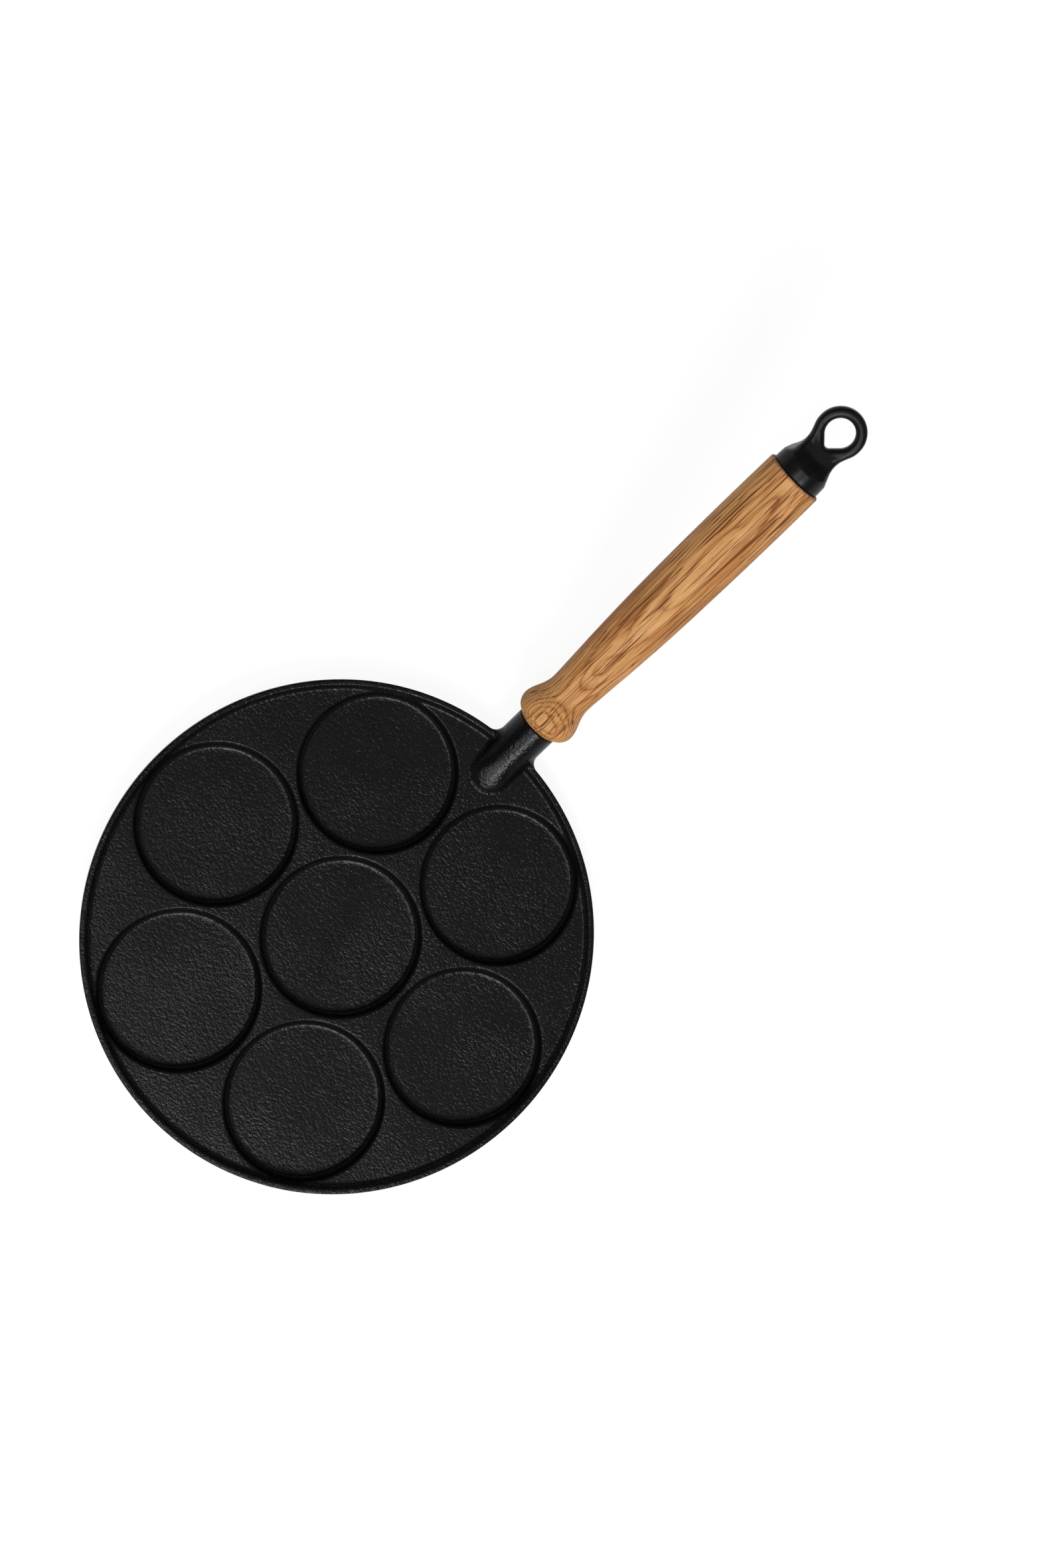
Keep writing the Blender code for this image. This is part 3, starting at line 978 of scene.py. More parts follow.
@dataclass(frozen=True)
class CastFinish:
    """Seasoned cast iron: near black, satin, with a sandy skin.

    Attributes:
        dark, pale: Colours in the hollows of the skin and on its tops.
        smooth, matt: Roughness where the skin is glossiest, and where it is dullest.
        grain_rate, swell_rate: Grains and swells of the mould in a metre.
        grain_depth: Height of the grains, in metres.
        specular: Strength of the mirror part.
        tone_range, gloss_range: Tones of all dark and all pale, and glosses of dullest and glossiest.
    """

    name: str
    dark: Triple
    pale: Triple
    smooth: float
    matt: float
    grain_rate: float
    grain_depth: float
    swell_rate: float
    specular: float
    tone_range: Pair = (0.35, 0.65)
    gloss_range: Pair = (0.38, 0.62)

    def material(self, skin: NodeTree) -> Material:
        """Builds the material.

        Args:
            skin: The shared cast skin.

        Returns:
            The material.
        """
        material, wiring, shader = new_material(self.name)
        coordinates = wiring.node("ShaderNodeTexCoord")
        group = wiring.node("ShaderNodeGroup", node_tree=skin)
        wiring.feed(group.inputs["Position"], coordinates.outputs["Object"])
        group.inputs["Grain Rate"].default_value = self.grain_rate
        group.inputs["Swell Rate"].default_value = self.swell_rate
        tone = wiring.spread(group.outputs["Tone"], *self.tone_range)
        wiring.feed(shader.inputs["Base Color"], wiring.mix(tone, self.dark, self.pale))
        rough = wiring.spread(group.outputs["Gloss"], *self.gloss_range, self.matt, self.smooth)
        wiring.feed(shader.inputs["Roughness"], rough)
        shader.inputs["Specular IOR Level"].default_value = self.specular
        wiring.feed(shader.inputs["Normal"], wiring.bump(group.outputs["Height"], self.grain_depth, 1.0))
        return material


PAN_IRON = CastFinish(
    name="pan_iron", dark=(0.0015, 0.0015, 0.0016), pale=(0.0045, 0.0045, 0.0045), smooth=0.24,
    matt=0.31, grain_rate=1750.0, grain_depth=0.00015, swell_rate=21.0, specular=0.175,
)
LOOP_IRON = CastFinish(
    name="loop_iron", dark=(0.0050, 0.0050, 0.0052), pale=(0.0085, 0.0085, 0.0086), smooth=0.28,
    matt=0.33, grain_rate=900.0, grain_depth=0.00002, swell_rate=60.0, specular=0.13,
)


@dataclass(frozen=True)
class PoreLines:
    """One family of open pores, drawn out along the grain.

    Attributes:
        spread: Lines in a millimetre across the grain, about.
        sheet: The same rate up through the wood; low where the lines are rays seen on edge.
        drawn: How fast a line wanders, in turns for each millimetre along the grain.
        half_width, soft: Half width of a line and of its soft edge, as changes of its noise.
        break_rate, break_level: Breaks in a millimetre along, and the part they close off.
        shift: Moves the family's pattern away from the other families'.
        crowded: How much the lines keep to the start of a growth ring, 0 to 1.
        fade: Distances across from the axis where the lines show whole and where they are gone.
    """

    spread: float
    sheet: float
    drawn: float
    half_width: float
    soft: float
    break_rate: float
    break_level: float
    shift: float
    crowded: float
    fade: Pair


LONG_RAYS = PoreLines(
    spread=0.34, sheet=0.020, drawn=0.004, half_width=0.036, soft=0.022,
    break_rate=0.026, break_level=0.440, shift=0.0, crowded=0.0, fade=(7.5, 10.0),
)
SHORT_RAYS = PoreLines(
    spread=0.66, sheet=0.090, drawn=0.009, half_width=0.046, soft=0.028,
    break_rate=0.050, break_level=0.450, shift=5.0, crowded=0.2, fade=(8.5, 11.0),
)
FINE_PORES = PoreLines(
    spread=1.30, sheet=0.600, drawn=0.026, half_width=0.075, soft=0.045,
    break_rate=0.075, break_level=0.450, shift=11.0, crowded=0.8, fade=(20.0, 30.0),
)
SIDE_PORES = PoreLines(
    spread=0.20, sheet=0.800, drawn=0.008, half_width=0.066, soft=0.036,
    break_rate=0.034, break_level=0.440, shift=17.0, crowded=0.3, fade=(8.5, 6.0),
)


@dataclass(frozen=True)
class OakFinish:
    """Oiled, flat-sawn oak: nearly level growth rings, open pores along the grain, and fine fibre.

    The tree's middle lies far under the handle, so that the rings cut the turned surface in long
    flames on top and in close lines on the sides, and draw ovals on the bulb.

    Attributes:
        golden, tan, russet: Pale late wood, common colour, and darker band where a ring begins.
        pore, end_grain: Colours of a pore's bottom and of the two ends' round edges.
        ring_places: Places in a ring of the colours russet, tan, golden, tan and russet.
        pith_depth: Depth of the tree's middle under the handle's axis.
        pith_across, pith_drift: Place of that middle across, and how it drifts along the handle.
        knoll_place, knoll_reach: Middle of a swelling of the rings, and its half length and width.
        knoll_rise: How far it lifts the rings.
        slow_push, slow_reach: Noise that bends the rings, and how far it moves the wood.
        fine_push, fine_reach: The same for the noise that roughens them.
        patches: Noise of the paler and the browner parts.
        streaks, streak_weight: Noise that frays the browner parts, and how much.
        brown: Two levels of the patches, and how brown the wood is at each.
        pale: The same for how pale it is.
        fibre: Noise of the fine fibre.
        fibre_dark: Two levels of the fibre, and how dark the wood is at each.
        rough: The same for its roughness.
        start, stop: Places of the grip's two faces.
        near_fade: Length over which the end grain fades behind the first face.
        far_fade, end_share: Where it begins and is full before the last one, and how strong it is.
        pore_noise, break_noise: Detail and roughness of a family's lines and of its breaks.
        break_across, break_shift: The breaks' rate across against the lines', and their shift.
        break_fade: How soon a line reaches its width past a break.
        early_stop: Part of a ring in which the crowded pores lie.
        pore_share: How dark a pore is.
        fibre_relief, relief_depth: Height of the fibre in pore depths, and that depth in metres.
    """

    name: str = "oiled_oak"
    golden: Triple = (0.715, 0.392, 0.156)
    tan: Triple = (0.600, 0.290, 0.101)
    russet: Triple = (0.370, 0.140, 0.040)
    pore: Triple = (0.130, 0.032, 0.005)
    end_grain: Triple = (0.400, 0.200, 0.115)
    ring_width: float = 1.45
    ring_places: tuple[float, ...] = (0.0, 0.14, 0.50, 0.88, 1.0)
    pith_depth: float = 58.0
    pith_across: float = 1.5
    pith_drift: float = -0.055
    knoll_place: Pair = (59.5, 0.7)
    knoll_reach: Pair = (9.0, 5.0)
    knoll_rise: float = 1.5
    slow_push: Pattern = Pattern((0.012, 0.040, 0.040), (2.0, 0.0, 5.0))
    slow_reach: Triple = (0.0, 6.0, 7.0)
    fine_push: Pattern = Pattern((0.05, 0.30, 0.30))
    fine_reach: Triple = (0.0, 0.6, 0.6)
    patches: Pattern = Pattern((0.020, 0.12, 0.12), (4.0, 1.0, 2.0), 3.0, 0.55)
    streaks: Pattern = Pattern((0.030, 0.9, 0.9), (1.0, 6.0, 3.0))
    streak_weight: float = 0.7
    brown: Span = (0.50, 0.66, 0.0, 0.62)
    pale: Span = (0.34, 0.46, 0.55, 0.0)
    fibre: Pattern = Pattern((0.09, 2.6, 2.6), detail=3.0, rough=0.6)
    fibre_dark: Span = (0.38, 0.68, 0.0, 0.42)
    rough: Span = (0.3, 0.7, 0.46, 0.60)
    specular: float = 0.10
    start: float = 16.5
    stop: float = 180.3
    near_fade: float = 1.3
    far_fade: Pair = (1.9, 0.4)
    end_share: float = 0.6
    pores: tuple[PoreLines, ...] = (LONG_RAYS, SHORT_RAYS, FINE_PORES, SIDE_PORES)
    pore_noise: Pair = (1.0, 0.4)
    break_noise: Pair = (1.0, 0.5)
    break_across: float = 0.8
    break_fade: float = 0.09
    break_shift: Pair = (3.0, 1.0)
    early_stop: float = 0.5
    pore_share: float = 0.88
    fibre_relief: float = 0.25
    relief_depth: float = 0.00006

    def local_place(self, wiring: Wiring, axis: HandleAxis) -> Socket:
        """Position along, across and over the handle's axis, in millimetres.

        Args:
            wiring: Where the nodes go.
            axis: The handle's axis.

        Returns:
            The position.
        """
        coordinates = wiring.node("ShaderNodeTexCoord")
        made = wiring.node("ShaderNodeMapping", vector_type="TEXTURE")
        wiring.feed(made.inputs["Vector"], coordinates.outputs["Object"])
        made.inputs["Location"].default_value = tuple(axis.origin * METRES)
        made.inputs["Rotation"].default_value = (0.0, -axis.climb, 0.0)
        made.inputs["Scale"].default_value = (METRES, METRES, METRES)
        return made.outputs[0]

    def knoll(self, wiring: Wiring, along: Socket, across: Socket) -> Socket:
        """Lift of the rings: rise * exp(-(a / half length)^2 - (b / half width)^2).

        Args:
            wiring: Where the nodes go.
            along: Place along the handle.
            across: Place across it.

        Returns:
            The lift.
        """
        squares = []
        for value, middle, reach in zip((along, across), self.knoll_place, self.knoll_reach):
            part = wiring.math("DIVIDE", wiring.math("SUBTRACT", value, middle), reach)
            squares.append(wiring.math("MULTIPLY", part, part))
        bell = wiring.math("EXPONENT", wiring.math("MULTIPLY", wiring.math("ADD", *squares), -1.0))
        return wiring.math("MULTIPLY", bell, self.knoll_rise)

    def push(self, wiring: Wiring, place: Socket, pattern: Pattern, reach: Triple) -> Socket:
        """How far a noise moves the wood: (noise colour - 1/2) * reach.

        Args:
            wiring, place: The material's wiring, and the place on the handle.
            pattern: The noise.
            reach: Reach along each axis.

        Returns:
            The move.
        """
        centred = wiring.vector("SUBTRACT", pattern.node(wiring, place).outputs["Color"], (0.5, 0.5, 0.5))
        return wiring.vector("MULTIPLY", centred, reach)

    def ring_phase(self, wiring: Wiring, place: Socket) -> Socket:
        """Place inside a growth ring, 0 to 1.

        The distance from the tree's middle is the length of (across - a, over + depth), with a
        drifting along the handle, after two noises have pushed the wood about. The knoll is added.

        Args:
            wiring, place: The material's wiring, and the place on the handle.

        Returns:
            The place in the ring.
        """
        push = self.push(wiring, place, self.slow_push, self.slow_reach)
        nudge = self.push(wiring, place, self.fine_push, self.fine_reach)
        moved = wiring.vector("ADD", wiring.vector("ADD", place, push), nudge)
        along, across, over = wiring.parts(moved)
        middle = wiring.math("MULTIPLY_ADD", along, self.pith_drift, self.pith_across)
        aside = wiring.math("SUBTRACT", across, middle)
        above = wiring.math("ADD", over, self.pith_depth)
        squares = [wiring.math("MULTIPLY", part, part) for part in (aside, above)]
        distance = wiring.math("SQRT", wiring.math("ADD", *squares))
        distance = wiring.math("ADD", distance, self.knoll(wiring, along, across))
        return wiring.math("FRACT", wiring.math("DIVIDE", distance, self.ring_width))

    def pore_family(self, wiring: Wiring, place: Socket, phase: Socket, family: PoreLines) -> Socket:
        """How much of a family's pores shows, 0 to 1.

        A line runs where a noise that is drawn out along the grain passes its middle value. A
        second such noise breaks it into lengths with fine ends.

        Args:
            wiring, place: The material's wiring, and the place on the handle.
            phase: Place in the growth ring.
            family: The family.

        Returns:
            The share.
        """
        scale = (family.drawn, family.spread, family.sheet)
        lines = Pattern(scale, (family.shift, family.shift, 0.0), *self.pore_noise)
        miss = wiring.math("ABSOLUTE", wiring.math("SUBTRACT", lines.value(wiring, place), 0.5))
        scale = (family.break_rate, self.break_across * family.spread, self.break_across * family.sheet)
        shift = (self.break_shift[0], family.shift, self.break_shift[1])
        gate = Pattern(scale, shift, *self.break_noise).value(wiring, place)
        full = family.break_level + self.break_fade
        width = wiring.spread(gate, family.break_level, full, 0.0, family.half_width)
        early = wiring.spread(phase, 0.0, self.early_stop, 1.0, 1.0 - family.crowded, True)
        aside = wiring.math("ABSOLUTE", wiring.parts(place)[1])
        early = wiring.math("MULTIPLY", early, wiring.spread(aside, *family.fade, 1.0, 0.0))
        edge = wiring.math("SUBTRACT", wiring.math("MULTIPLY", width, early), miss)
        return wiring.spread(edge, 0.0, family.soft, 0.0, 1.0)

    def pore_lines(self, wiring: Wiring, place: Socket, phase: Socket) -> Socket:
        """The strongest of all families at each point.

        Args:
            wiring, place: The material's wiring, and the place on the handle.
            phase: Place in the growth ring.

        Returns:
            The share of pore, 0 to 1.
        """
        lines = [self.pore_family(wiring, place, phase, family) for family in self.pores]
        total = lines[0]
        for line in lines[1:]:
            total = wiring.math("MAXIMUM", total, line)
        return total

    def ends(self, wiring: Wiring, place: Socket) -> Socket:
        """1 at the two ends' edges, falling to 0 a little way in.

        Args:
            wiring, place: The material's wiring, and the place on the handle.

        Returns:
            The share of end grain.
        """
        along = wiring.parts(place)[0]
        near = wiring.spread(along, self.start, self.start + self.near_fade, 1.0, 0.0, True)
        begins, full = (self.stop - gap for gap in self.far_fade)
        far = wiring.spread(along, begins, full, 0.0, 1.0, True)
        return wiring.math("MAXIMUM", near, far)

    def board(self, wiring: Wiring, place: Socket, phase: Socket, fibre: Socket) -> Socket:
        """Colour of the wood before its pores: rings, browner and paler parts, fibre, end grain.

        Args:
            wiring, place: The material's wiring, and the place on the handle.
            phase: Place in the growth ring.
            fibre: The fibre's noise.

        Returns:
            The colour.
        """
        colours = (self.russet, self.tan, self.golden, self.tan, self.russet)
        base = wiring.ramp(phase, list(zip(self.ring_places, colours)))
        patches = self.patches.value(wiring, place)
        frayed = wiring.math("SUBTRACT", self.streaks.value(wiring, place), 0.5)
        frayed = wiring.math("MULTIPLY_ADD", frayed, self.streak_weight, patches)
        base = wiring.mix(wiring.spread(frayed, *self.brown, True), base, self.russet)
        base = wiring.mix(wiring.spread(patches, *self.pale, True), base, self.golden)
        base = wiring.mix(wiring.spread(fibre, *self.fibre_dark), base, self.russet)
        ends = wiring.math("MULTIPLY", self.ends(wiring, place), self.end_share)
        return wiring.mix(ends, base, self.end_grain)

    def material(self, axis: HandleAxis) -> Material:
        """Builds the material on the handle's axis.

        Args:
            axis: The handle's axis.

        Returns:
            The material.
        """
        material, wiring, shader = new_material(self.name)
        place = self.local_place(wiring, axis)
        phase = self.ring_phase(wiring, place)
        fibre = self.fibre.value(wiring, place)
        lines = self.pore_lines(wiring, place, phase)
        dark = wiring.math("MULTIPLY", lines, self.pore_share)
        colour = wiring.mix(dark, self.board(wiring, place, phase, fibre), self.pore)
        wiring.feed(shader.inputs["Base Color"], colour)
        wiring.feed(shader.inputs["Roughness"], wiring.spread(fibre, *self.rough))
        shader.inputs["Specular IOR Level"].default_value = self.specular
        relief = wiring.math("MULTIPLY", lines, -1.0)
        relief = wiring.math("MULTIPLY_ADD", fibre, self.fibre_relief, relief)
        wiring.feed(shader.inputs["Normal"], wiring.bump(relief, self.relief_depth, 1.0))
        return material


@dataclass(frozen=True)
class SteelFinish:
    """Plain zinc-grey steel, drawn along the rod.

    Attributes:
        colour, shade: Metal colour, and how much darker the drawn lines are.
        drawn: Noise of the drawn lines.
        rough: Two levels of the noise, and the roughness at each.
        depth, strength: Depth of the lines, in metres, and strength of their bump.
    """

    name: str = "rod_steel"
    colour: Triple = (0.42, 0.41, 0.39)
    shade: float = 0.7
    drawn: Pattern = Pattern((120.0, 2600.0, 2600.0), detail=3.0, rough=0.6)
    rough: Span = (0.3, 0.7, 0.28, 0.45)
    depth: float = 0.00002
    strength: float = 0.6

    def material(self) -> Material:
        """Builds the material.

        Returns:
            The material.
        """
        material, wiring, shader = new_material(self.name)
        coordinates = wiring.node("ShaderNodeTexCoord")
        drawn = self.drawn.value(wiring, coordinates.outputs["Object"])
        darker = tuple(part * self.shade for part in self.colour)
        wiring.feed(shader.inputs["Base Color"], wiring.mix(drawn, darker, self.colour))
        wiring.feed(shader.inputs["Roughness"], wiring.spread(drawn, *self.rough))
        wiring.feed(shader.inputs["Normal"], wiring.bump(drawn, self.depth, self.strength))
        shader.inputs["Metallic"].default_value = 1.0
        return material


def make_piece(
    name: str, skin: Skin, material: Material, nodes: Sequence[str]
) -> bpy.types.Object:
    """Turns a skin into a piece of the part.

    Args:
        name: Piece name.
        skin: Its surface in the row frame, in millimetres.
        material: Its finish.
        nodes: CAD nodes that it stands for.

    Returns:
        The object, at the origin with its place in its mesh.
    """
    mesh = bpy.data.meshes.new(name)
    mesh.from_pydata((skin.points * METRES).tolist(), [], skin.triangles.tolist())
    if mesh.validate():
        log.warning("%s: the mesh needed repair", name)
    mesh.shade_smooth()
    mesh.normals_split_custom_set(skin.corners.reshape(-1, 3).tolist())
    mesh.materials.append(material)
    piece = bpy.data.objects.new(name, mesh)
    bpy.context.scene.collection.objects.link(piece)
    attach(piece, BODY)
    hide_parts(*nodes)
    log.info("%s: %d vertices, %d triangles", name, len(skin.points), len(skin.triangles))
    return piece


@dataclass(frozen=True)
class RecessNet:
    """Circles of plan points round one recess.

    Attributes:
        bends, count: Radii of the dense circles on wall and fillets, and points on each.
        floors, floor_counts: Radii of the circles on the flat floor, and points on each.
    """

    bends: tuple[float, ...]
    count: int
    floors: tuple[float, ...]
    floor_counts: tuple[int, ...]

    def points(self, centre: Array) -> Array:
        """All points round a recess, the bends first and the centre last.

        Args:
            centre: The recess's centre.

        Returns:
            The points, one a row.
        """
        circles = zip(self.floors, self.floor_counts)
        floors = [ring_points(centre, [reach], count) for reach, count in circles]
        return np.vstack([ring_points(centre, self.bends, self.count), *floors, centre[None]])


TOP_NET = RecessNet(
    bends=(
        *(33.75 + 0.25 * step for step in range(9)),
        *(35.98, 36.2, 36.55, 36.85, 37.02, 37.12, 37.22, 37.34, 37.48, 37.64, 37.78, 38.0),
    ),
    count=200,
    floors=(32.8, 28.0, 20.0, 10.0),
    floor_counts=(96, 60, 36, 18),
)
LOW_NET = RecessNet(
    bends=(
        *(34.6, 35.2, 35.8, 36.4, 36.9, 37.35, 37.7, 38.0, 38.3),
        *(38.6, 38.9, 39.15, 39.4, 39.7, 40.1, 40.6, 41.2),
    ),
    count=150,
    floors=(33.0, 26.0, 18.0, 9.0),
    floor_counts=(80, 48, 30, 14),
)
RIM_RINGS = (
    *(112.2, 112.7, 113.1, 113.45, 113.8, 114.15, 114.5, 114.8),
    *(115.05, 115.25, 115.4, 115.52, 115.64, 115.78, 115.95, 116.12),
)


@dataclass
class PanCasting:
    """The iron casting: plate, rim, seven recesses, their feet below, and the handle's stub.

    Most fields are sizes that are named for what they measure. The others are listed.

    Attributes:
        axis: The handle's axis.
        first_degrees: Angle of the first outer recess from the handle.
        cup_top: Height at which the cups end inside the plate.
        rim_crest: Radius at which the rim's inner face would meet the crest's height.
        stub_spare, stub_back: Where the stub's uncut blank ends, and where it starts.
        stub_tip: Distance out at which its blunt end begins.
        stub_tip_spread: How much it widens for each unit outwards.
        stub_tip_crown, stub_tip_lift: Radius of its crown, and its height over the cylinder.
        stub_tip_blend: Distances out between which it becomes the cylinder.
        ramp_levels: Two heights of the stub's under side behind the ramp.
        ramp_places: Distances out at which it leaves the first and reaches the second.
        ramp_run: Length over which it then falls to its lowest.
        inset: How far the loop lies inside the outline.
        loop_near, loop_gaps: Corner of the part near the stub, and point gaps there and elsewhere.
        top_net, low_net: Plan points at the recesses, above and below.
    """

    axis: HandleAxis
    pitch: float = 77.0
    outer_recesses: int = 6
    first_degrees: float = 30.0
    land: float = 9.8
    recess_mouth: float = 37.1
    recess_depth: float = 5.8
    draft_degrees: float = 12.0
    mouth_round: float = 0.9
    floor_fillet: float = 2.4
    foot_radius: float = 38.2
    foot_round: float = 2.83
    cup_top: float = 8.0
    cup_fillet: float = 1.5
    pan_radius: float = 118.0
    plate_thickness: float = 4.0
    rim_height: float = 2.8
    rim_foot: float = 113.7
    rim_crest: float = 115.55
    rim_foot_fillet: float = 0.75
    rim_crest_round: float = 0.4
    rim_outer_round: float = 0.8
    plate_lower_round: float = 1.5
    stub_radius: float = 10.45
    stub_end: float = 16.2
    stub_edge: float = 0.4
    stub_spare: float = 142.0
    spare_round: float = 3.0
    stub_back: float = 40.0
    stub_root_fillet: float = 1.25
    stub_tip: float = 91.4
    stub_tip_radius: float = 10.6
    stub_tip_spread: float = 0.05
    stub_tip_round: float = 4.5
    stub_tip_crown: float = 17.0
    stub_tip_lift: float = 0.7
    stub_tip_blend: Pair = (98.0, 112.0)
    stub_rim_fillet: float = 4.5
    fillet_blend: Pair = (115.5, 118.2)
    ramp_levels: Pair = (7.0, 5.8)
    ramp_places: Pair = (93.0, 96.0)
    ramp_run: float = 22.0
    ramp_round: float = 1.6
    stub_lowest: float = 1.0
    strip_start: float = 60.0
    bore_radius: float = 3.3
    bore_depth: float = 15.3
    inset: float = 1.7
    loop_near: Pair = (100.0, 24.0)
    loop_gaps: Pair = (0.45, 1.2)
    top_net: RecessNet = TOP_NET
    low_net: RecessNet = LOW_NET
    rim_rings: tuple[float, ...] = RIM_RINGS
    rim_count: int = 620

    @property
    def centres(self) -> Array:
        """Plan centres of the recesses.

        Returns:
            The middle one, then the ring of six.
        """
        step = 2 * np.pi / self.outer_recesses
        angle = np.radians(self.first_degrees) + np.arange(self.outer_recesses) * step
        ring = self.pitch * np.stack([np.cos(angle), np.sin(angle)], axis=1)
        return np.vstack([np.zeros((1, 2)), ring])

    def solid(self, x: Array, y: Array, z: Array) -> Array:
        """Distance to the casting's surface, negative in the metal.

        The plate and seven cups are joined. The pool inside the rim and seven recesses are one
        hollow, taken away. The stub, a cylinder round the handle's axis, is joined last.

        Args:
            x, y, z: Places along and across, and heights.

        Returns:
            The distances.
        """
        height = z - self.land
        radius = np.hypot(x, y)
        slant = math.tan(math.radians(self.draft_degrees))
        square = math.cos(math.radians(self.draft_degrees))
        body = meet_round(radius - self.pan_radius, height - self.rim_height, self.rim_outer_round)
        body = meet_round(body, -self.plate_thickness - height, self.plate_lower_round)
        lean = math.atan2(self.rim_crest - self.rim_foot, self.rim_height)
        rim_wall = (radius - self.rim_foot) * math.cos(lean) - height * math.sin(lean)
        hollow = meet_round(rim_wall, -height, self.rim_foot_fillet)
        for centre in self.centres:
            reach = np.hypot(x - centre[0], y - centre[1])
            cup = (reach - self.foot_radius - z * slant) * square
            cup = np.maximum(meet_round(cup, -z, self.foot_round), z - self.cup_top)
            body = join_round(body, cup, self.cup_fillet)
            recess = (reach - self.recess_mouth - height * slant) * square
            recess = meet_round(recess, -self.recess_depth - height, self.floor_fillet)
            hollow = join_round(hollow, recess, self.mouth_round)
        body = np.maximum(body, radius - self.pan_radius)
        metal = meet_round(body, -hollow, self.rim_crest_round)
        return join_round(metal, self.stub(x, y, z), self.fillet(x, y))

    def stub_end_dome(self, x: Array, y: Array, z: Array) -> Array:
        """Distance to the stub's blunt end on the land.

        In plan it is a half circle. Its top lies a little over the cylinder's top line, land +
        tan(climb) (x - x0), and falls to the sides by (R - sqrt(R^2 - y^2)) / cos(climb), where R
        shrinks from a wide crown at the tip to the cylinder's own radius.

        Args:
            x, y, z: Places along and across, and heights.

        Returns:
            The distances.
        """
        middle = self.stub_tip + self.stub_tip_radius
        widened = self.stub_tip_radius + self.stub_tip_spread * (x - middle)
        half = np.where(x < middle, self.stub_tip_radius, widened)
        plan = np.hypot(np.minimum(x - middle, 0.0), y) - half
        shrink = ease(x, *self.stub_tip_blend)
        crown = self.stub_tip_crown + (self.stub_radius - self.stub_tip_crown) * shrink
        drop = crown - np.sqrt(np.maximum(crown**2 - y**2, 0.0))
        line_start = self.axis.crossing_place - self.stub_radius / math.sin(self.axis.climb)
        height = z - self.land - math.tan(self.axis.climb) * (x - line_start)
        height = height - self.stub_tip_lift * (1.0 - shrink)
        top = height * math.cos(self.axis.climb) + drop
        return meet_round(plan, top, self.stub_tip_round)

    def stub(self, x: Array, y: Array, z: Array) -> Array:
        """Distance to the stub: the cylinder, kept over a ramp that runs down under the rim.

        Args:
            x, y, z: Places along and across, and heights.

        Returns:
            The distances.
        """
        along = (x - self.axis.crossing_place) * math.cos(self.axis.climb)
        over = (z - self.land) * math.cos(self.axis.climb)
        over = over - (x - self.axis.crossing_place) * math.sin(self.axis.climb)
        cylinder = np.hypot(y, over) - self.stub_radius
        blend = ease(x, *self.stub_tip_blend)
        cylinder = cylinder * blend + self.stub_end_dome(x, y, z) * (1.0 - blend)
        cylinder = meet_round(cylinder, x - self.stub_spare, self.spare_round)
        kept = meet_round(cylinder, self.ramp(x) - z, self.ramp_round)
        return np.maximum(kept, -self.stub_back - along)

    def ramp(self, x: Array) -> Array:
        """Height of the stub's under side: level, a short step down, and a straight slope.

        Args:
            x: Places along.

        Returns:
            The heights.
        """
        (high, middle), (leave, reach) = self.ramp_levels, self.ramp_places
        steep = (middle - self.stub_lowest) / self.ramp_run
        slope = np.clip(middle - (x - reach) * steep, self.stub_lowest, middle)
        step = high - (high - middle) * ease(x, leave, reach)
        return np.where(x < leave, high, np.where(x < reach, step, slope))

    def fillet(self, x: Array, y: Array) -> Array:
        """Fillet radius round the stub: small on the land, large outside the rim."""
        outside = ease(np.hypot(x, y), *self.fillet_blend)
        return self.stub_root_fillet + (self.stub_rim_fillet - self.stub_root_fillet) * outside

    def outline(self, x: Array, y: Array) -> Array:
        """Plan distance to the outline: the disc joined to the stub's strip.

        Args:
            x, y: Places along and across.

        Returns:
            The distances.
        """
        disc = np.hypot(x, y) - self.pan_radius
        strip = meet_round(np.abs(y) - self.stub_radius, x - self.stub_spare, self.spare_round)
        strip = np.maximum(strip, self.strip_start - x)
        return join_round(disc, strip, self.stub_rim_fillet)

    def loop(self) -> Array:
        """Loop inside the outline, finer round the stub.

        Its guess is the larger of the disc's radius and the strip's at each angle, spread evenly.

        Returns:
            The loop's plan points.
        """
        angle = np.linspace(0, 2 * np.pi, GUESS_ANGLES, endpoint=False)
        side = (self.stub_radius - self.inset) / np.maximum(np.abs(np.sin(angle)), LEAST_SINE)
        end = (self.stub_spare - self.inset) / np.maximum(np.cos(angle), LEAST_SINE)
        strip = np.where(np.cos(angle) > 0, np.minimum(side, end), 0.0)
        radius = np.maximum(self.pan_radius - self.inset, strip)
        guess = radius[:, None] * np.stack([np.cos(angle), np.sin(angle)], axis=1)
        closed = np.vstack([guess, guess[:1]])
        step = np.linalg.norm(np.diff(closed, axis=0), axis=1)
        travelled = np.concatenate([[0], np.cumsum(step)])
        even = np.linspace(0, travelled[-1], GUESS_POINTS, endpoint=False)
        guess = np.stack([np.interp(even, travelled, closed[:, axis]) for axis in (0, 1)], axis=1)

        def gaps(points: Array) -> Array:
            """Fine near the stub, coarser round the rest of the rim."""
            near = (points[:, 0] > self.loop_near[0]) & (np.abs(points[:, 1]) < self.loop_near[1])
            return np.where(near, *self.loop_gaps)

        return level_loop(self.outline, guess, -self.inset, gaps)

    def inside(self, plan: Array, margin: float) -> Array:
        """Keeps plan points that lie inside the loop by a margin."""
        return plan[self.outline(*plan.T) < -self.inset - margin]

    def from_recesses(self, plan: Array) -> Array:
        """Plan distance from each point to the nearest recess centre."""
        return np.min([np.hypot(*(plan - centre).T) for centre in self.centres], axis=0)

